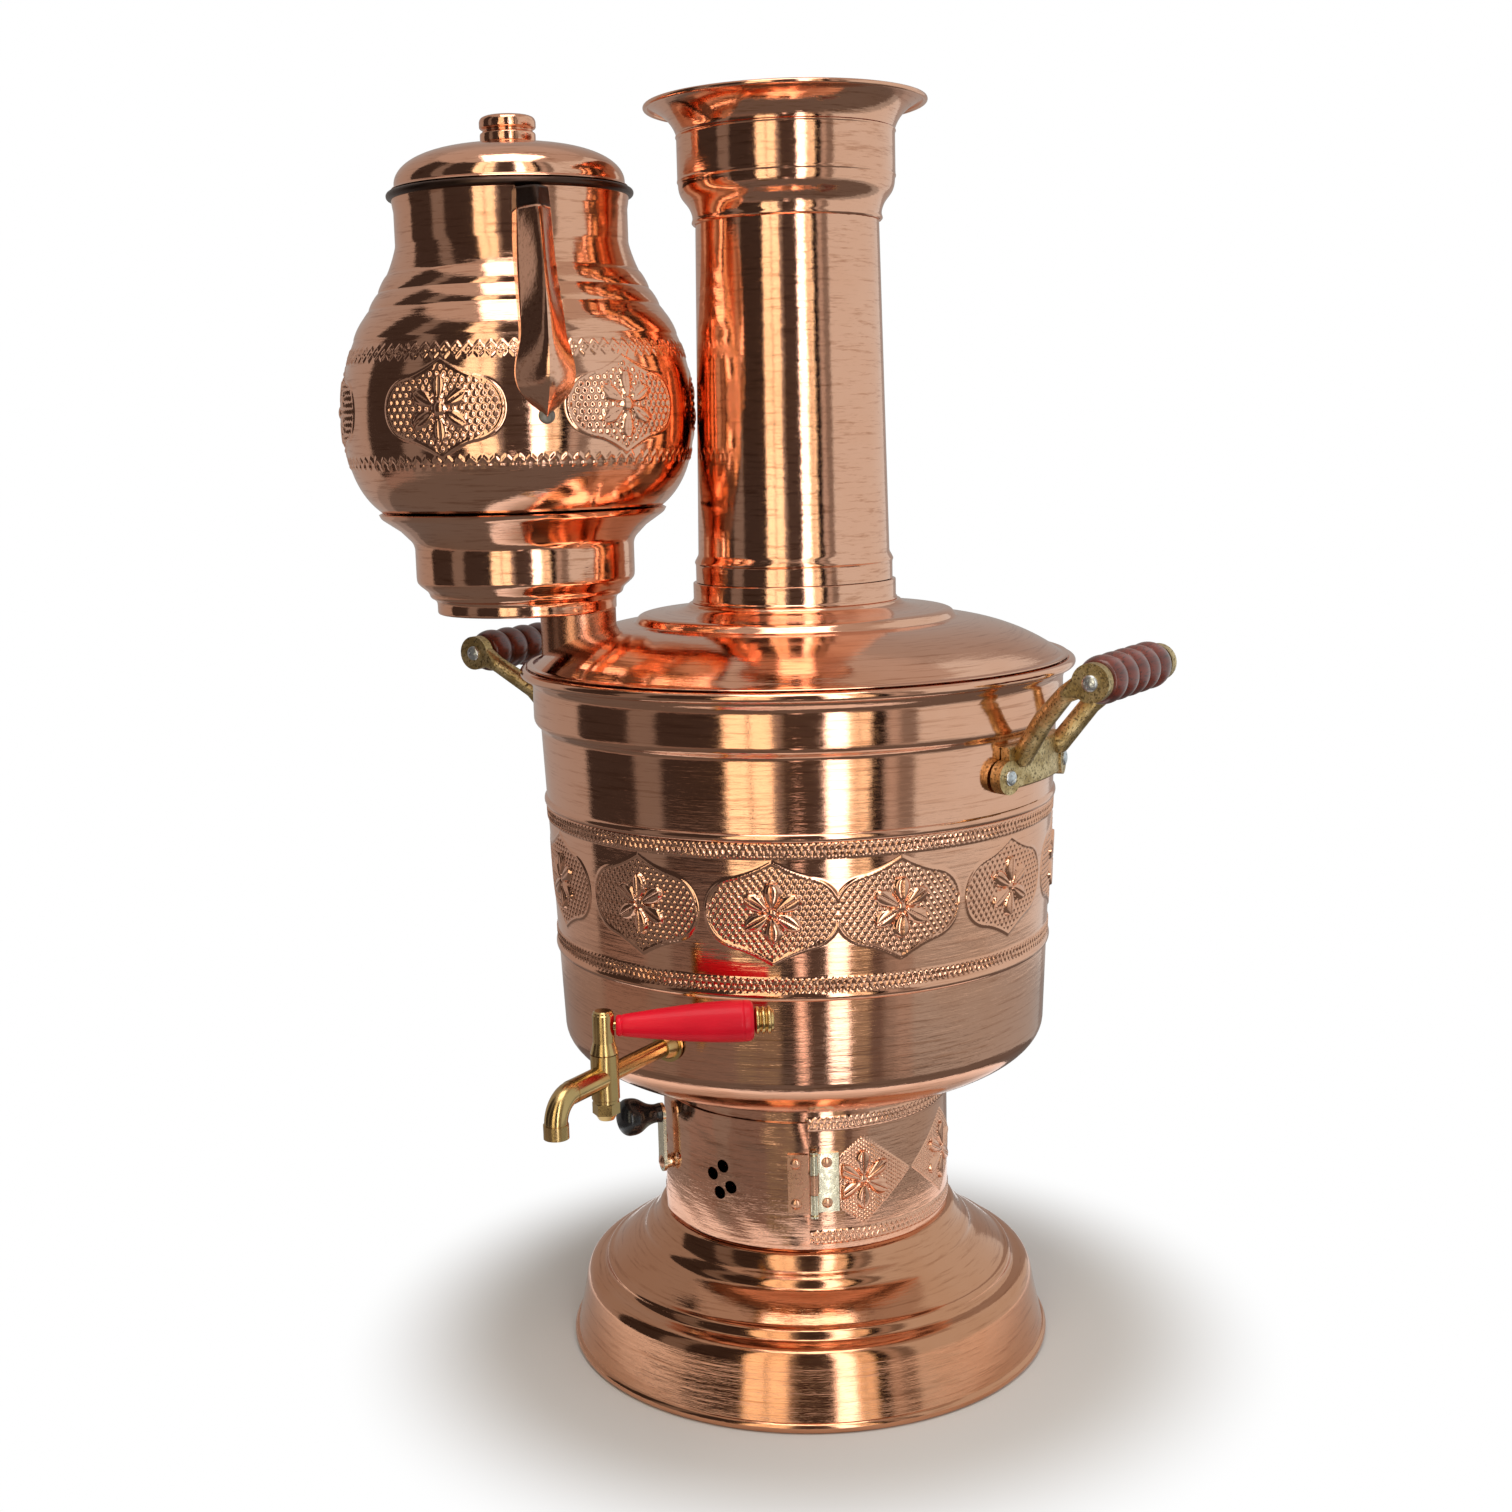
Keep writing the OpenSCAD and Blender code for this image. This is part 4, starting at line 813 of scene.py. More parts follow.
# %% [markdown]
# ## Latch, hinge and their rivets
# The knob is a moulded plastic mushroom that has replaced an older one. Rivets are
# copper, hammered over, so each head is low and round. The plain solids already hold the
# leaves and the plate; only the knob and the heads are made again, because their round
# outlines show.

# %% Latch knob and rivets
PLATE_OUT, KNOB_L = DOOR_OUT + 2.8 + 1.4, 20.5
knob_line = ([(0, 0), (4.6, 0), (4.2, 2.5)]
             + curve((4.4, 4), (5.5, 9), (8.5, 9), (8.5, 14.5), 14)[:-1]
             + curve((8.5, 15), (8.5, 18.5), (5.1, KNOB_L), (0, KNOB_L), 16))
latch_knob = spun("latch_knob_cap", soften(knob_line, 0.5), BLACK,
                  at(LATCH_TURN, PLATE_OUT, LATCH_Z + LATCH_L), outward(LATCH_TURN), 96)
seat(latch_knob, "latch", "black_knob", "latch_knob")
for i, rise in enumerate((-9.3, 9.3)):
    for body, carrier, turn, reach in (("root", "neck", HINGE_TURN + 5, NECK_R),
                                       ("fire_door", "door", HINGE_TURN - 6.7, DOOR_OUT)):
        head = rivet_head("%s_leaf_rivet_%d" % (carrier, i), 2.4, 1.08,
                          at(turn, reach + 0.8, LEAF_MIDDLE + rise), outward(turn))
        seat(head, body, "copper_rivet")
print("knob length:", KNOB_L)

# %% [markdown]
# ## The tap
# A founder casts the body, turns the barrel and grinds the plug into it. A quarter turn
# of the red lever lines up the hole in the plug with the pipe. The body and the plug
# stay as imported and get their finish later. The grip and its ribbed ferrule are made
# again from finer lines, for their small grooves.

# %% Lever grip and ferrule
PLUG_REACH, BARREL_H, TAP_Z = 157.0, 18.4, TANK_Z + 41.0
LEVER_Z = TAP_Z + BARREL_H / 2 + 0.4 + 4.6 + 6.4
LEVER_DIR = outward(90 + 35)
STEM_R, GRIP_L = 2.05, 55.0
lever_from = Vector((0, -PLUG_REACH, LEVER_Z)) + LEVER_DIR * 5.0
grip_line = ([(STEM_R, 0), (3.7, 0), (4.3, 0.7), (4.3, 2), (4.05, 2.3), (4.3, 2.6)]
             + curve((4.6, 4), (6.3, 19.25), (8.4, 33), (8.4, 50.5), 28)
             + [(8.15, 50.9), (8.4, 51.3), (8.1, 53.8), (6.8, GRIP_L), (STEM_R, GRIP_L)])
red_grip = spun("red_grip", soften(grip_line, 0.5), RED, lever_from, LEVER_DIR, 96)
seat(red_grip, "tap_plug", "red_grip", "lever_grip")
rib = 7 / 3
ferrule_line = ([(STEM_R, 0)]
                + [(r, (i + up) * rib + 0.3) for i in range(3)
                   for r, up in ((4.6, 0), (5.6, 0.25), (5.6, 0.65), (4.6, 0.9))]
                + [(4.6, 7.4), (4, 8), (0, 8)])
ferrule = spun("ferrule", [(0, 7), (STEM_R, 7)] + soften(ferrule_line, 0.35), BRASS,
               lever_from + LEVER_DIR * (GRIP_L + 0.1), LEVER_DIR, 72)
seat(ferrule, "tap_plug", "tap_brass", "lever_ferrule")
print("lever length:", round((lever_from + LEVER_DIR * (GRIP_L + 8)).length, 1))

# %% [markdown]
# ## Side handles
# Each grip is turned from one block of wood with five ribs, drilled, and held by a rod
# and two screws between the arms of a cast bracket. The ribs could be a row of balls,
# but a lathe leaves one running line, so the radius follows a sine.

# %% Grips and screws
HANDLE_Z, HALF_TURN = TANK_Z + 149.5, 13.3
GRIP_REACH, GRIP_Z, GRIP_HALF, WOOD_R = 157.0, HANDLE_Z + 42.5, 31.0, 10.0
STRAP_OUT = tank_wall(HANDLE_Z + 13) + 0.2 + 4.3
wood_line = [(STEM_R, 0)] + [
    (WOOD_R * (0.74 + 0.26 * math.sqrt(abs(math.sin(math.pi * 5 * t)))), 2 * GRIP_HALF * t)
    for t in np.linspace(0, 1, 121)] + [(STEM_R, 2 * GRIP_HALF)]
for side, sign in (("right", 1), ("left", -1)):
    along = Vector((0, 1, 0)) * sign
    start = Vector((sign * GRIP_REACH, 0, GRIP_Z)) - along * GRIP_HALF
    wood = spun(side + "_wood", wood_line, WOOD, start, along, 80, smooth_under=60)
    seat(wood, "root", "ribbed_wood", side + "_grip")
    for i, half in enumerate((-1, 1)):
        turn = 90 * sign + half * HALF_TURN
        head = screw("%s_bracket_screw_%d" % (side, i), 3.3, 1.5,
                     at(turn, STRAP_OUT + 0.65, HANDLE_Z), outward(turn), 0.4 + 0.5 * i)
        seat(head, "root", "zinc_screw")
        end = Vector((sign * GRIP_REACH, half * (GRIP_HALF + 7.55), GRIP_Z))
        head = screw("%s_end_screw_%d" % (side, i), 3.4, 1.6, end, (0, half, 0), 0.2 + 0.7 * i)
        seat(head, "root", "zinc_screw")
print("grip ribs: 5, length:", 2 * GRIP_HALF)

# %% [markdown]
# ## The lid
# The lid is a wide spun dome with two steps. It carries the collar round the fire tube,
# the steam pipe and, on that pipe, the stand that warms the teapot. All four are turned
# about upright axes of their own, so each keeps the rings of its own spinning.

# %% Lid, collar, steam pipe and stand
LID_R, LID_Z = RIM_R - RIM_WIRE - 0.7, RIM_Z + RIM_WIRE + 0.3
COLLAR_R, LAND_Z, FLUE_R = 45.6, 345.3, 41.6
lid_line = (
    placed([(0, 0.5), (-0.5, 1), (-2.4, 1), (-3, 0.9)]
           + curve((-4.5, 1.8), (-16, 9.8), (-30, 15.4), (-46, 17.2), 30)
           + [(-49.5, 17.6), (-50.4, 19), (-51.6, 20.6), (-54, 21.4), (-57, 21.6)],
           LID_R, LID_Z)
    + curve(*placed([(-59, 21.9), (-67, 22.3)], LID_R, LID_Z),
            *placed([(3.5, -2.4), (2.2, -0.4)], COLLAR_R, LAND_Z), 12)
    + placed([(1.6, 0), (-3.2, 0)], COLLAR_R, LAND_Z))
spin_on("lid", "lid_dome", sheet_line(soften(lid_line, 1.2)), columns=288)
spin_on("lid", "lid_skirt", tube_line(BAND_R - WALL - 0.6, RIM_Z - 8, RIM_Z + 4), "lid_shell")
collar_line = [(FLUE_R + 0.6, 0), (COLLAR_R + 0.6, 0), (COLLAR_R + 0.6, 0.8), (COLLAR_R, 1.6),
               (COLLAR_R, 9), (FLUE_R + 0.6, 9)]
spin_on("lid", "collar", placed(soften(collar_line, 0.5), 0, LAND_Z), "lid_collar")

POT_TURN, PIPE_REACH, PIPE_R, PIPE_WALL = -60.0, 98.5, 17.2, 1.5
STAND_Z, STAND_R = RIM_Z + 26.0, 49.3
spin_on("lid", "pipe", tube_line(PIPE_R, RIM_Z - 4, STAND_Z, PIPE_WALL), "steam_pipe",
        material=COPPER_DULL, axis=at(POT_TURN, PIPE_REACH, 0)[:2], columns=96)
stand_line = [(PIPE_R - PIPE_WALL, 0), (40.5, 0), (40.5, 5), (41.2, 6.4), (43.5, 7.6),
              (44.1, 10), (47.7, 13), (49.1, 14.6), (STAND_R, 17), (STAND_R, 30), (50.2, 32.5),
              (55.3, 37.7), (63.5, 43.3), (64.5, 45.3)]
stand = spin_on("lid", "stand", sheet_line(placed(soften(stand_line, 1.4), 0, STAND_Z)),
                "stand_cup", material=COPPER_POT, axis=POT_AXIS, columns=224)
print("stand is", stand_line[-1][1], "high and has", len(stand.data.polygons), "faces")

# %% [markdown]
# ## The chimney and its crown
# A chimney is a rolled and brazed tube, tapered so that it draws. The crown is spun and
# pushed on; its flared mouth holds the teapot when the fire needs to be calm. A plain
# cone would do for the tube, but its beads and its taper are one line here, with a
# corner every few millimetres, so that its faces stay near square.

# %% Chimney
CHIMNEY_Z, CHIMNEY_TOP, CROWN_Z = 354.6, 561.3, 510.3
CHIMNEY_LOW, CHIMNEY_HIGH, CROWN_R, MOUTH_R, LIP = 44.2, 40.2, 47.6, 61.8, 1.1
flue_line = placed([(0, 0), (0, 7.5), (0.5, 8.6), (0, 9.7), (-1.25, 12)], CHIMNEY_LOW, CHIMNEY_Z)
flue_line = even(soften(flue_line + [(CHIMNEY_HIGH, CROWN_Z + 3)], 0.8), 6)
spin_on("chimney", "chimney", sheet_line(flue_line), "chimney_tube")
crown_line = (
    placed([(1.05, 0), (1.8, 0.8), (1.2, 2.6)], CHIMNEY_HIGH, 0)
    + curve((CHIMNEY_HIGH + 1.3, 4), (CHIMNEY_HIGH + 3, 11), (CROWN_R - 0.5, 9.5),
            (CROWN_R - 0.2, 17.5), 14)
    + placed([(0.3, 18.4), (0, 19.4), (0, 36.5), (0.5, 37.3)], CROWN_R, 0)
    + curve((CROWN_R, 38.2), (CROWN_R + 2, 45), (MOUTH_R - 6, 49.6), (MOUTH_R - 1.2, 50.1), 14))
spin_on("chimney", "crown", sheet_line(placed(soften(crown_line, 0.7), 0, CROWN_Z)),
        "chimney_crown", columns=224)
spin_on("chimney", "crown_lip", roll_line(MOUTH_R - LIP, CHIMNEY_TOP - LIP, LIP), columns=224)
print("chimney top at", CHIMNEY_TOP)

# %% [markdown]
# ## The teapot's line
# The belly is spun in one piece, with an embossed band round its shoulder and shallow
# folds under the neck. One even step for the whole line would be simple, but a fine mesh
# is only needed where the marks are. So the line has wide steps below the band and
# narrow ones from there up.

# %% The pot's line
POT_Z, POT_R, POT_NECK, POT_H, BELLY_H, POT_WIRE = 379.5, 78.0, 51.3, 146.5, 49.0, 1.8
POT_MARKS, POT_MARK_R, POT_MARK_Z = [13.4 + 60 * k for k in range(6)], 77.0, 433.7
POT_BAND_Z, POT_BAND_HALF, POT_PITCH = 435.0, 28.0, 5.05
# Small borders: height and shift round the wall, with a half height for the peaks
PEAKS = [(458.6, 0.0, 1.5), (456.0, POT_PITCH / 2, 1.5), (412.2, 0.0, 1.4)]
DOTS = [(457.3, 2.52), (409.8, 0.0)]
POT_FOLDS = (464.4, 477.2, 484.6, 492.2)
FINE_FROM, PLAIN_ROWS = 404.0 - POT_Z, 12
pot_low = soften([(0, 0), (STAND_R + 1.2, 0)]
                 + curve((STAND_R + 11.9, 8.5), (POT_R - 5.5, 16), (POT_R, 30),
                         (POT_R, BELLY_H), 20), 1.4)
pot_high = (curve(*placed([(0, 0), (0.2, 19), (-4, 34), (-12, 45.5)], POT_R, BELLY_H), 20)
            + curve(*placed([(-12, 45.5)], POT_R, BELLY_H),
                    *placed([(9, 55), (3, 64), (0, 76)], POT_NECK, BELLY_H), 14)
            + placed([(0, -7), (0.8, -2), (1.4, 0)], POT_NECK, POT_H))
plain = [p for p in pot_low if p[1] < FINE_FROM]
pot_line = even(plain, 4) + even(pot_low[len(plain) - 1:] + soften(pot_high, 1.0)[1:], 0.62)[1:]
print("points on the pot's line:", len(pot_line))

# %% [markdown]
# ## The teapot's body
# Six marks go round the shoulder, between borders of small peaks and dots. The folds are
# pushed in with a round tool. They could be part of the line, but as a formula they stay
# apart from the outline and can be moved by their heights alone. The rim is rolled over
# a wire, and its copper is painted almost black as shade for the gap under the lid.

# %% Pot body
def pot_emboss(turn, z, row):
    u, v = np.radians(to_nearest(turn + 0 * z, POT_MARKS)) * POT_MARK_R, z - POT_MARK_Z
    edge = ogee_edge(u, v, 27.6, 14.0, 6.4, 14.0)
    petals, cover = flower(u, v, 13.8, 3.3, 3.4, 1.2)
    ground = (1 - cover) * dots(u, v, 3.2, 5.6, 0.8, 0.7)
    marks = 0.5 * ridge(edge - 0.6, 0.75) + step_up(edge, 1.6, 2.4) * np.maximum(petals, ground)
    round_u = np.radians(turn) * POT_MARK_R
    for middle, shift, half in PEAKS:
        line = zigzag(round_u + shift, z - middle, half, POT_PITCH, 0.45)
        marks = np.maximum(marks, line)
    for middle, shift in DOTS:
        marks = np.maximum(marks, spots(round_u + shift, z - middle, POT_PITCH, 0.8, 0.6))
    folds = sum(0.8 * np.sin(np.pi * np.clip((z - low) / (high - low), 0, 1)) ** 0.5
                for low, high in zip(POT_FOLDS, POT_FOLDS[1:]))
    outside = (row < len(pot_line)) * (row > PLAIN_ROWS)
    return (marks * (np.abs(z - POT_BAND_Z) < POT_BAND_HALF) + folds) * outside


pot = spin_on("teapot", "pot", sheet_line(placed(pot_line, 0, POT_Z)), "pot_body",
              material=COPPER_POT, axis=POT_AXIS, columns=900, lift=pot_emboss)
# The rim's near-black copper is painted shade for the gap under the lid's flange
spin_on("teapot", "pot_rim", roll_line(POT_NECK + 1.2, POT_Z + POT_H, POT_WIRE),
        material=COPPER_PAINTED_SHADE, axis=POT_AXIS)
print("pot faces:", len(pot.data.polygons))

# %% [markdown]
# ## The beak
# The beak is folded from one piece of sheet, so its section is a soft V, narrow at the
# root, widest a little above and slimmer again at the mouth. It could be lofted between
# a few drawn sections, but the joints would show as creases. Here the sizes run smoothly
# from level to level. It is soldered on, and the solder shows grey at its root.

# %% Sizes of the beak
SPOUT_TURN, SPOUT_W, BEAK_SHEET = 46.5, 10.0, 0.8
FOLD, FLANK = 0.55, 0.45  # share of the half width on the fold, and how far back it reaches
LEVELS = np.array([  # half width, back, ridge, height over the pot's bottom
    (1.5, POT_R - 4, POT_R + 1.2, BELLY_H + 0.6),
    (SPOUT_W, POT_R - 6, POT_R + 9, BELLY_H + 10),
    (SPOUT_W * 0.92, POT_R - 10, POT_R + 12.4, BELLY_H + 36),
    (SPOUT_W * 0.8, POT_NECK + 2, POT_R + 7.4, BELLY_H + 63),
    (SPOUT_W * 0.7, POT_NECK + 5, POT_R - 2, BELLY_H + 86),
    (SPOUT_W * 0.66, POT_NECK + 5.5, POT_R - 7, POT_H - 3.8)])


def beak_sizes(height):
    """Half width, back and ridge at a height, without a kink at the given levels."""
    knots, sizes = LEVELS[:, 3], LEVELS[:, :3]
    slopes = np.gradient(sizes, knots, axis=0)
    i = int(np.clip(np.searchsorted(knots, height) - 1, 0, len(knots) - 2))
    span = knots[i + 1] - knots[i]
    t = (height - knots[i]) / span
    return ((2 * t**3 - 3 * t**2 + 1) * sizes[i] + (t**3 - 2 * t**2 + t) * span * slopes[i]
            + (3 * t**2 - 2 * t**3) * sizes[i + 1] + (t**3 - t**2) * span * slopes[i + 1])


print("half width of the beak at mid height:", round(float(beak_sizes(BELLY_H + 50)[0]), 1))

# %% [markdown]
# ## Folding the beak
# At each level a row of corners runs from the left seam over the ridge to the right one.
# The ridge could be a hard corner with a bevel; a little roundness in the formula gives
# the soft fold that a mallet leaves. The top of the beak is painted almost black as shade inside
# the mouth, so it is a piece of its own.

# %% Beak
beak_angle = math.radians(SPOUT_TURN)
beak_out = np.array([math.sin(beak_angle), -math.cos(beak_angle)])
beak_side = np.array([math.cos(beak_angle), math.sin(beak_angle)])


def beak_row(height, steps=41):
    """One level of the beak, from its left seam over the ridge to its right seam."""
    half, back, tip = beak_sizes(height)
    radii, heights = np.array(pot_high).T
    wall = np.interp(height, heights, radii) - 0.6
    middle = back + (tip - back) * FLANK
    row = []
    for s in np.linspace(-1, 1, steps):
        a = abs(s)
        across = half * math.copysign(min(1.0, a / FOLD) ** 0.85, s)
        if a < FOLD:
            out = tip - (tip - middle) * (math.sqrt((a / FOLD) ** 2 + 0.002) - 0.0447) / 0.956
        else:
            out = middle + (wall - middle) * (a - FOLD) / (1 - FOLD)
        out = max(out, math.sqrt(max(wall**2 - across**2, 0)))
        row.append((*(POT_AXIS + beak_out * out + beak_side * across), POT_Z + height))
    return row


rows = [beak_row(h) for h in np.linspace(BELLY_H + 0.6, POT_H - 3.8, 90)]
# beak_tip takes the near-black copper: painted shade for the inside of the mouth
for name, part, finish in (("beak", rows[:-8], COPPER_POT), ("beak_tip", rows[-9:], COPPER_PAINTED_SHADE)):
    beak = to_object(name, np.array(part).reshape(-1, 3),
                     grid_faces(len(part), len(part[0]), False, False), finish, 30)
    sheet = beak.modifiers.new("sheet", "SOLIDIFY")
    sheet.thickness, sheet.offset = BEAK_SHEET * MM, -1
    seat(beak, "teapot", "copper", "pot_spout")
root_at = Vector((*POT_AXIS, 0)) + at(SPOUT_TURN, POT_R - 0.9, POT_Z + BELLY_H + 1.0)
solder = spun("solder", [(0, -0.5), (4.0, -0.5)] + dome(4.0, 1.7), SOLDER, root_at,
              outward(SPOUT_TURN), 48)
seat(solder, "teapot", "copper")
print("beak rows:", len(rows))

# %% [markdown]
# ## The teapot's lid and knob
# The lid is a small spun dome with a skirt that drops into the mouth of the pot. The
# knob is turned from the bar. Dome and skirt could share one line, but as a ring of its
# own the skirt keeps both lines simple.

# %% Teapot lid and knob
SEAT_H, KNOB_H = POT_H + POT_WIRE + 0.3, 12.4
POT_LID_R = POT_NECK + 0.8
pot_lid_line = (placed([(0, 0.4), (-0.5, 1.1), (-1.6, 1.3)]
                       + curve((-1.5, 2.6), (-1.5, 11), (-14, 18.5), (12.4 - POT_LID_R, 19), 24)
                       + [(-POT_LID_R, 19)], POT_LID_R, POT_Z + SEAT_H))
spin_on("teapot_lid", "pot_lid_dome", sheet_line(soften(pot_lid_line, 0.8)),
        material=COPPER_POT, axis=POT_AXIS)
skirt = tube_line(POT_NECK - 1.6, POT_Z + POT_H - 5, POT_Z + POT_H + 4)
spin_on("teapot_lid", "pot_lid_skirt", skirt, "pot_lid", material=COPPER_POT, axis=POT_AXIS)
KNOB_Z = POT_Z + SEAT_H + 19.05
grip_line = [(0, 0), (11.7, 0), (11.7, 0.8), (12.2, 1.4), (12.2, 4.96), (11, 5.7), (11, 6.45),
             (12.4, 7.2), (12.4, 10.2), (11.7, 11.6), (10, KNOB_H), (0, KNOB_H)]
spin_on("teapot_lid", "pot_knob", placed(soften(grip_line, 0.7), 0, KNOB_Z), "pot_lid_knob",
        material=COPPER_POT, axis=POT_AXIS, columns=96, closed=False)
print("knob top at", KNOB_Z + KNOB_H)

# %% [markdown]
# ## Finishes for the solids that stay
# Small or hidden solids stay as they are and only get their finish. Making them again
# would add nothing that shows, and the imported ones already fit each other.

# %% Finishes for the remaining nodes
FINISHES = [
    (COPPER_DULL, "ash_plate fire_tube"), (IRON, "fire_grate"), (COPPER_POT, "pot_handle"),
    (HINGE_PLATE, "neck_leaf hinge_pin latch_lever"), (RUBBER, "tap_seal"),
    (RIVET, "door_leaf door_leaf_rivets neck_leaf_rivets latch_rivet latch_stop pot_lid_rivet"),
    (BRASS, "tap_body tap_washer tap_lock_nut tap_plug tap_plug_washer tap_plug_nut lever_stem")]
for side in ("right", "left"):
    FINISHES.append((CAST_BRASS, side + "_bracket"))
    FINISHES += [(ZINC, side + part) for part in ("_rod", "_end_screws", "_bracket_screws",
                                                  "_bracket_nuts")]
finish_of = {name: finish for finish, names in FINISHES for name in names.split()}
dressed = 0
for name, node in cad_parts.items():
    for piece in (node if isinstance(node, (list, tuple)) else [node]):
        piece.data.materials.clear()
        piece.data.materials.append(finish_of.get(name, COPPER))
        dressed += 1
print("solids with a finish:", dressed)

# %% [markdown]
# ## White surroundings
# The world is plain white at a strength of 1, so that it lights evenly and colours come
# out as they are written. A backdrop with a lamp of its own could be white as well, but
# it would have to be lit evenly first.

# %% White surroundings
scene = bpy.context.scene
scene.view_settings.view_transform = "Standard"
scene.world = world = bpy.data.worlds.new("white_room")
world.use_nodes = True
world.node_tree.nodes["Background"].inputs["Color"].default_value = (1, 1, 1, 1)
world.node_tree.nodes["Background"].inputs["Strength"].default_value = 1.0
print("view transform:", scene.view_settings.view_transform)

# %% [markdown]
# ## The room
# Polished copper shows the room more than itself. The piece stands in a bright room with
# two windows, dark walls between them and warm walls at the sides. A picture of a room
# on the world would light it as well, but glowing panels can be placed one by one. Only
# the reflections show them: the camera looks past into white.

# %% A panel of the room
ROOM_R, ROOM_LOW, SILL, ROOM_HIGH = 2200.0, -800.0, -450.0, 3000.0


def glowing(name, colour, strength):
    m = Recipe(name)
    return m.finish(m.add("Emission", Color=(*colour, 1), Strength=strength))


def panel(name, turns, heights, colour, strength, reach=ROOM_R):
    """A part of the room's wall between two turns, seen only in reflections."""
    columns = np.linspace(*turns, max(2, int(abs(turns[1] - turns[0]) / 3) + 1))
    corners = [tuple(at(t, reach, z)) for t in columns for z in heights]
    wall = to_object(name, corners, grid_faces(len(columns), 2, False, False),
                     glowing(name, colour, strength))
    wall.visible_camera = wall.visible_shadow = False


print("room height in metres:", (ROOM_HIGH - ROOM_LOW) * MM)

# %% [markdown]
# ## Walls and windows
# The room is a ring of sectors, each with its colour and its glow at eye level and at the
# floor. Bars and rails stand a little in front of the windows. One panel with a striped
# material would show the same, but a list of sectors is easier to move about.

# %% Walls and windows
# Sectors of the room: start and end turn, colour, glow at eye level, glow at the floor
DAYLIGHT, SKYLIT, LINEN = (0.98, 0.99, 1.0), (0.93, 1.0, 1.0), (1.0, 0.90, 0.66)
PLASTER, SHADE = (1.0, 0.93, 0.87), (1.0, 0.82, 0.74)
SECTORS = [(-180, -74, PLASTER, 0.40, 0.28), (-74, -44, SHADE, 0.05, 0.28),
           (-44, -30, PLASTER, 0.22, 0.25), (-30, 0, SHADE, 0.05, 0.22),
           (0, 9.8, LINEN, 2.0, 0.25), (9.8, 11, SHADE, 0.05, 0.2), (11, 20, LINEN, 2.0, 0.25),
           (20, 24, PLASTER, 0.3, 0.05), (24, 28, SHADE, 0.07, 0.05), (28, 32, SHADE, 0.07, 1.5),
           (32, 42, SHADE, 0.07, 0.08), (42, 51, DAYLIGHT, 4.0, 3.0),
           (51, 55, LINEN, 1.6, 0.4), (55, 55.8, SHADE, 0.2, 0.3), (55.8, 60.4, LINEN, 1.6, 0.35),
           (60.4, 67, SHADE, 0.02, 0.15), (67, 72.7, PLASTER, 0.5, 0.3),
           (72.7, 80.6, PLASTER, 0.25, 0.4), (80.6, 180, SKYLIT, 0.74, 0.42)]
for i, (start, end, colour, high, low) in enumerate(SECTORS):
    panel("wall_%02d_high" % i, (start, end), (SILL, ROOM_HIGH), colour, high)
    panel("wall_%02d_low" % i, (start, end), (ROOM_LOW, SILL), colour, low)
BARS = (2.4, 4.8, 7.3, 13.2, 15.4, 17.8, 52.3, 53.7, 57.2, 58.8)
RAILS, WINDOWS = (50, 550, 1000, 1500, 2000), ((0, 20), (51, 60.4))
for i, turn in enumerate(BARS):
    panel("bar_%02d" % i, (turn, turn + 0.22), (SILL, ROOM_HIGH), SHADE, 0.15, ROOM_R - 50)
for i, height in enumerate(RAILS):
    for k, turns in enumerate(WINDOWS):
        panel("rail_%d_%d" % (i, k), turns, (height, height + 30), SHADE, 0.15, ROOM_R - 60)
print("wall panels:", 2 * len(SECTORS) + len(BARS) + len(RAILS) * len(WINDOWS))

# %% [markdown]
# ## Ceiling, lower floor and board
# The board stands for the pale table. Near the piece it is matt and takes the shadow;
# further out it fades into pure white, for the camera and for reflections alike. A white
# lamp on the floor would do that too, but it would wash the copper out.

# %% Ceiling, lower floor and board
BOARD_R, FADE = 232.0, (0.135, 0.225)


def flat_disc(name, radius, z, material, columns=96):
    piece = turned(name, [(0.0, z), (radius, z)], material, columns=columns, closed=False)
    return piece


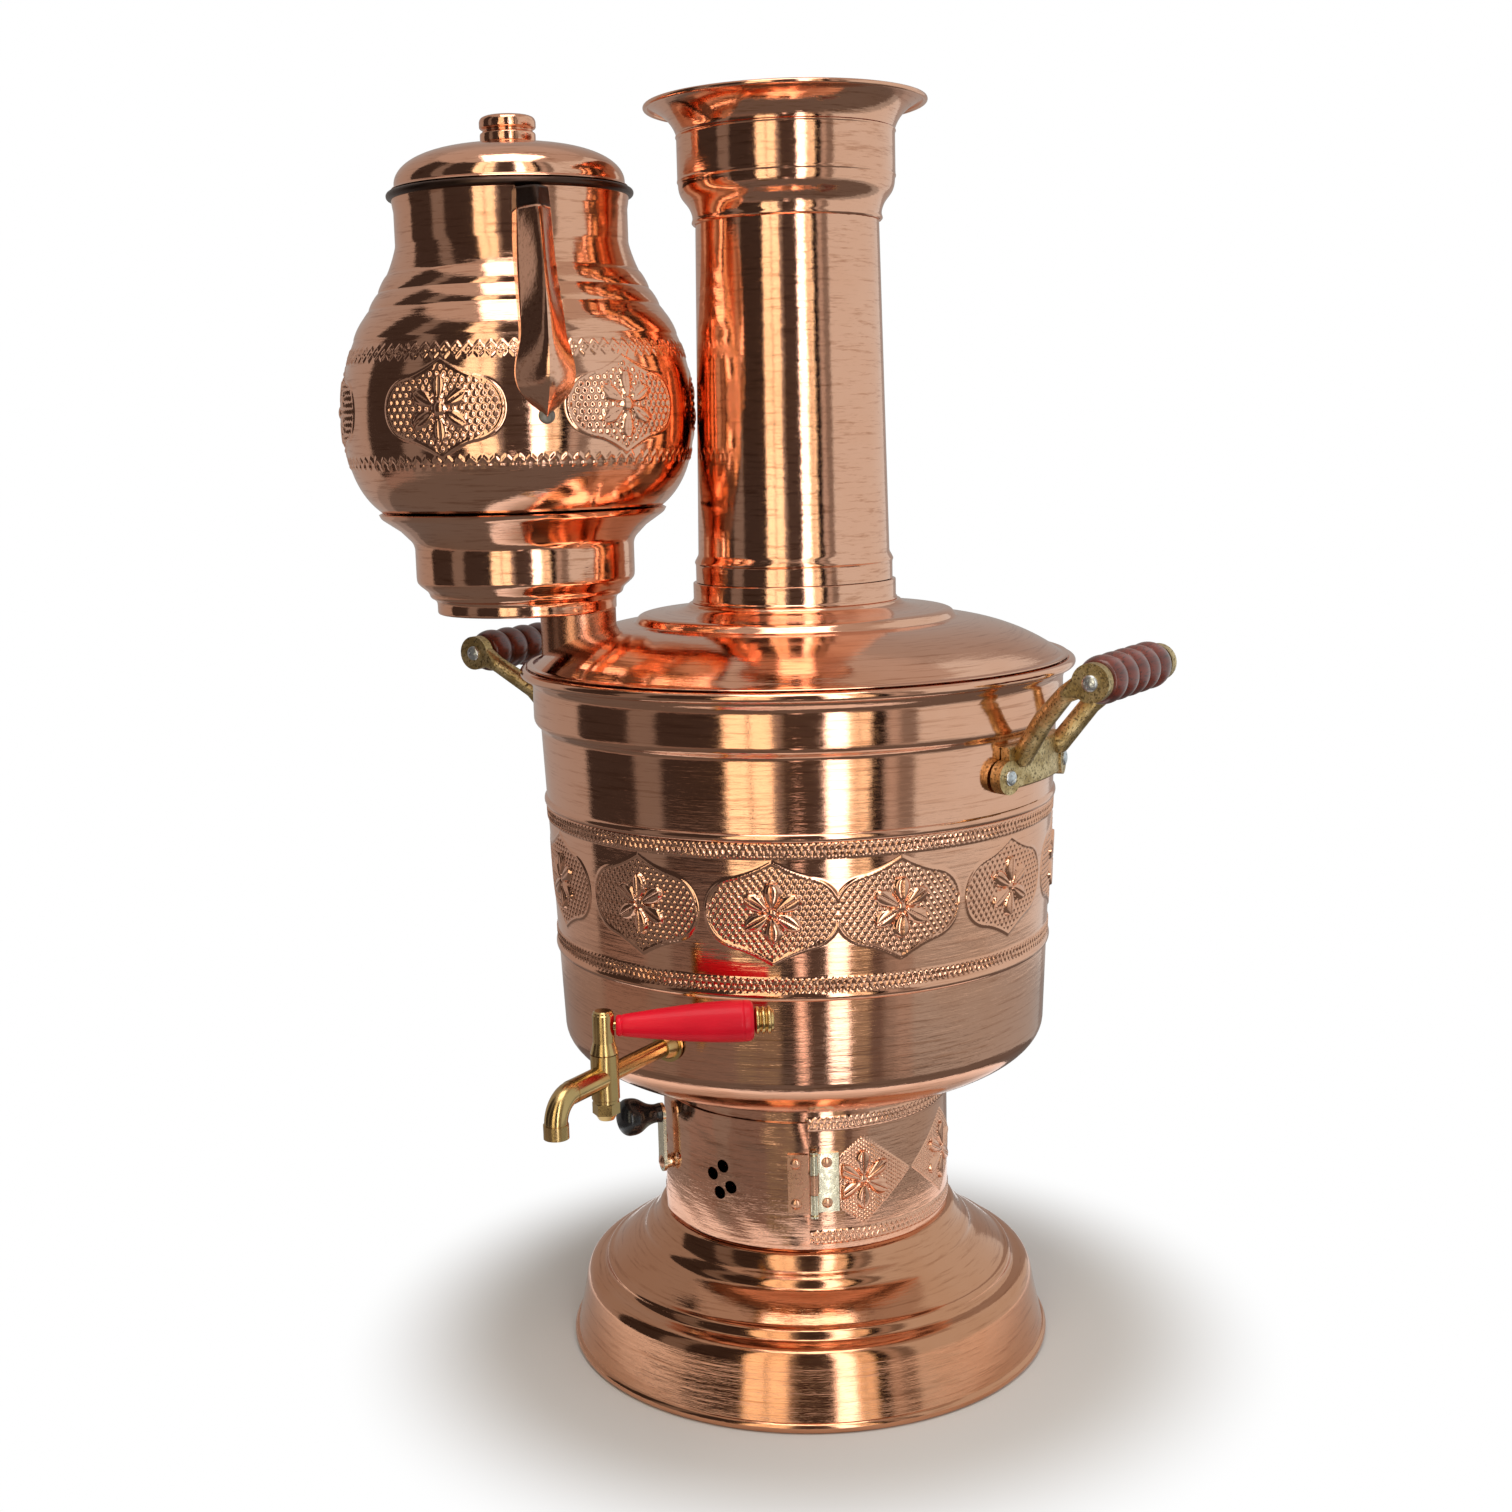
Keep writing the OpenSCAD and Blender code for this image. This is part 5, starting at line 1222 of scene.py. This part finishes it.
for name, height, strength in (("ceiling", ROOM_HIGH, 0.5), ("lower_floor", ROOM_LOW, 0.15)):
    disc = flat_disc(name, ROOM_R, height, glowing(name + "_glow", PLASTER, strength))
    disc.visible_camera = False
m = Recipe("pale_board")
reach = m.add("VectorMath", {"operation": "LENGTH"}, i0=m.place()).outputs["Value"]
matt = m.add("BsdfDiffuse", Color=(0.72, 0.715, 0.71, 1))
white = m.add("Emission", Color=(1, 1, 1, 1), Strength=1.0)
ray = m.add("LightPath").outputs
seen = m.math("MAXIMUM", ray["Is Camera Ray"], ray["Is Glossy Ray"])
seen = m.math("MAXIMUM", seen, ray["Is Transmission Ray"])
shown = m.math("MULTIPLY", m.ramp(reach, *FADE), seen)
both = m.add("MixShader", i0=shown, i1=matt, i2=white)
flat_disc("board", BOARD_R, 0.0, m.finish(both), columns=160)
print("board radius:", BOARD_R)

# %% [markdown]
# ## Lamp
# The white surroundings already light the piece from all sides. One soft lamp overhead
# adds a little weight from above and a shadow at the foot. It stays weak, so that the
# colours come out as they are written.

# %% Lamp
lamp = bpy.data.lights.new("overhead", "AREA")
lamp.shape, lamp.size, lamp.size_y = "RECTANGLE", 1.2, 1.2
lamp.energy, lamp.color = 15.0, (1.0, 0.97, 0.93)
overhead = bpy.data.objects.new("overhead", lamp)
overhead.location = (0.3, -0.5, 2.2)
aim = Vector((0, 0, 0.2)) - overhead.location
overhead.rotation_euler = aim.to_track_quat("-Z", "Y").to_euler()
scene.collection.objects.link(overhead)
print("lamp watts:", lamp.energy)

# %% [markdown]
# ## Camera
# The camera stands a little to the right of the tap, just above the teapot's belly, and
# looks slightly down. It could follow a target, but a viewpoint is steadier as numbers:
# which way it looks, how far it tips and rolls, and where it stands, in metres.

# %% Camera
eye = bpy.data.cameras.new("eye")
eye.lens, eye.sensor_width = 46.64, 36.0
eye.shift_x, eye.shift_y = 0.0279, -0.0037
eye.clip_start, eye.clip_end = 0.05, 20
camera = bpy.data.objects.new("eye", eye)
yaw, pitch, roll, side_turn = (math.radians(a) for a in (-2.49, 9.28, -1.57, 30.5))
ahead = Vector((math.sin(yaw) * math.cos(pitch), math.cos(yaw) * math.cos(pitch),
                -math.sin(pitch)))
level = Vector((math.cos(yaw), -math.sin(yaw), 0))
above = level.cross(ahead)
right = level * math.cos(roll) + above * math.sin(roll)
up = above * math.cos(roll) - level * math.sin(roll)
swing = Matrix.Rotation(side_turn, 3, "Z")
axes = Matrix((swing @ right, swing @ up, -(swing @ ahead))).transposed()
camera.matrix_world = Matrix.Translation((0.4495, -0.763, 0.4217)) @ axes.to_4x4()
scene.collection.objects.link(camera)
scene.camera = camera
print("camera looks along", tuple(round(c, 3) for c in swing @ ahead))
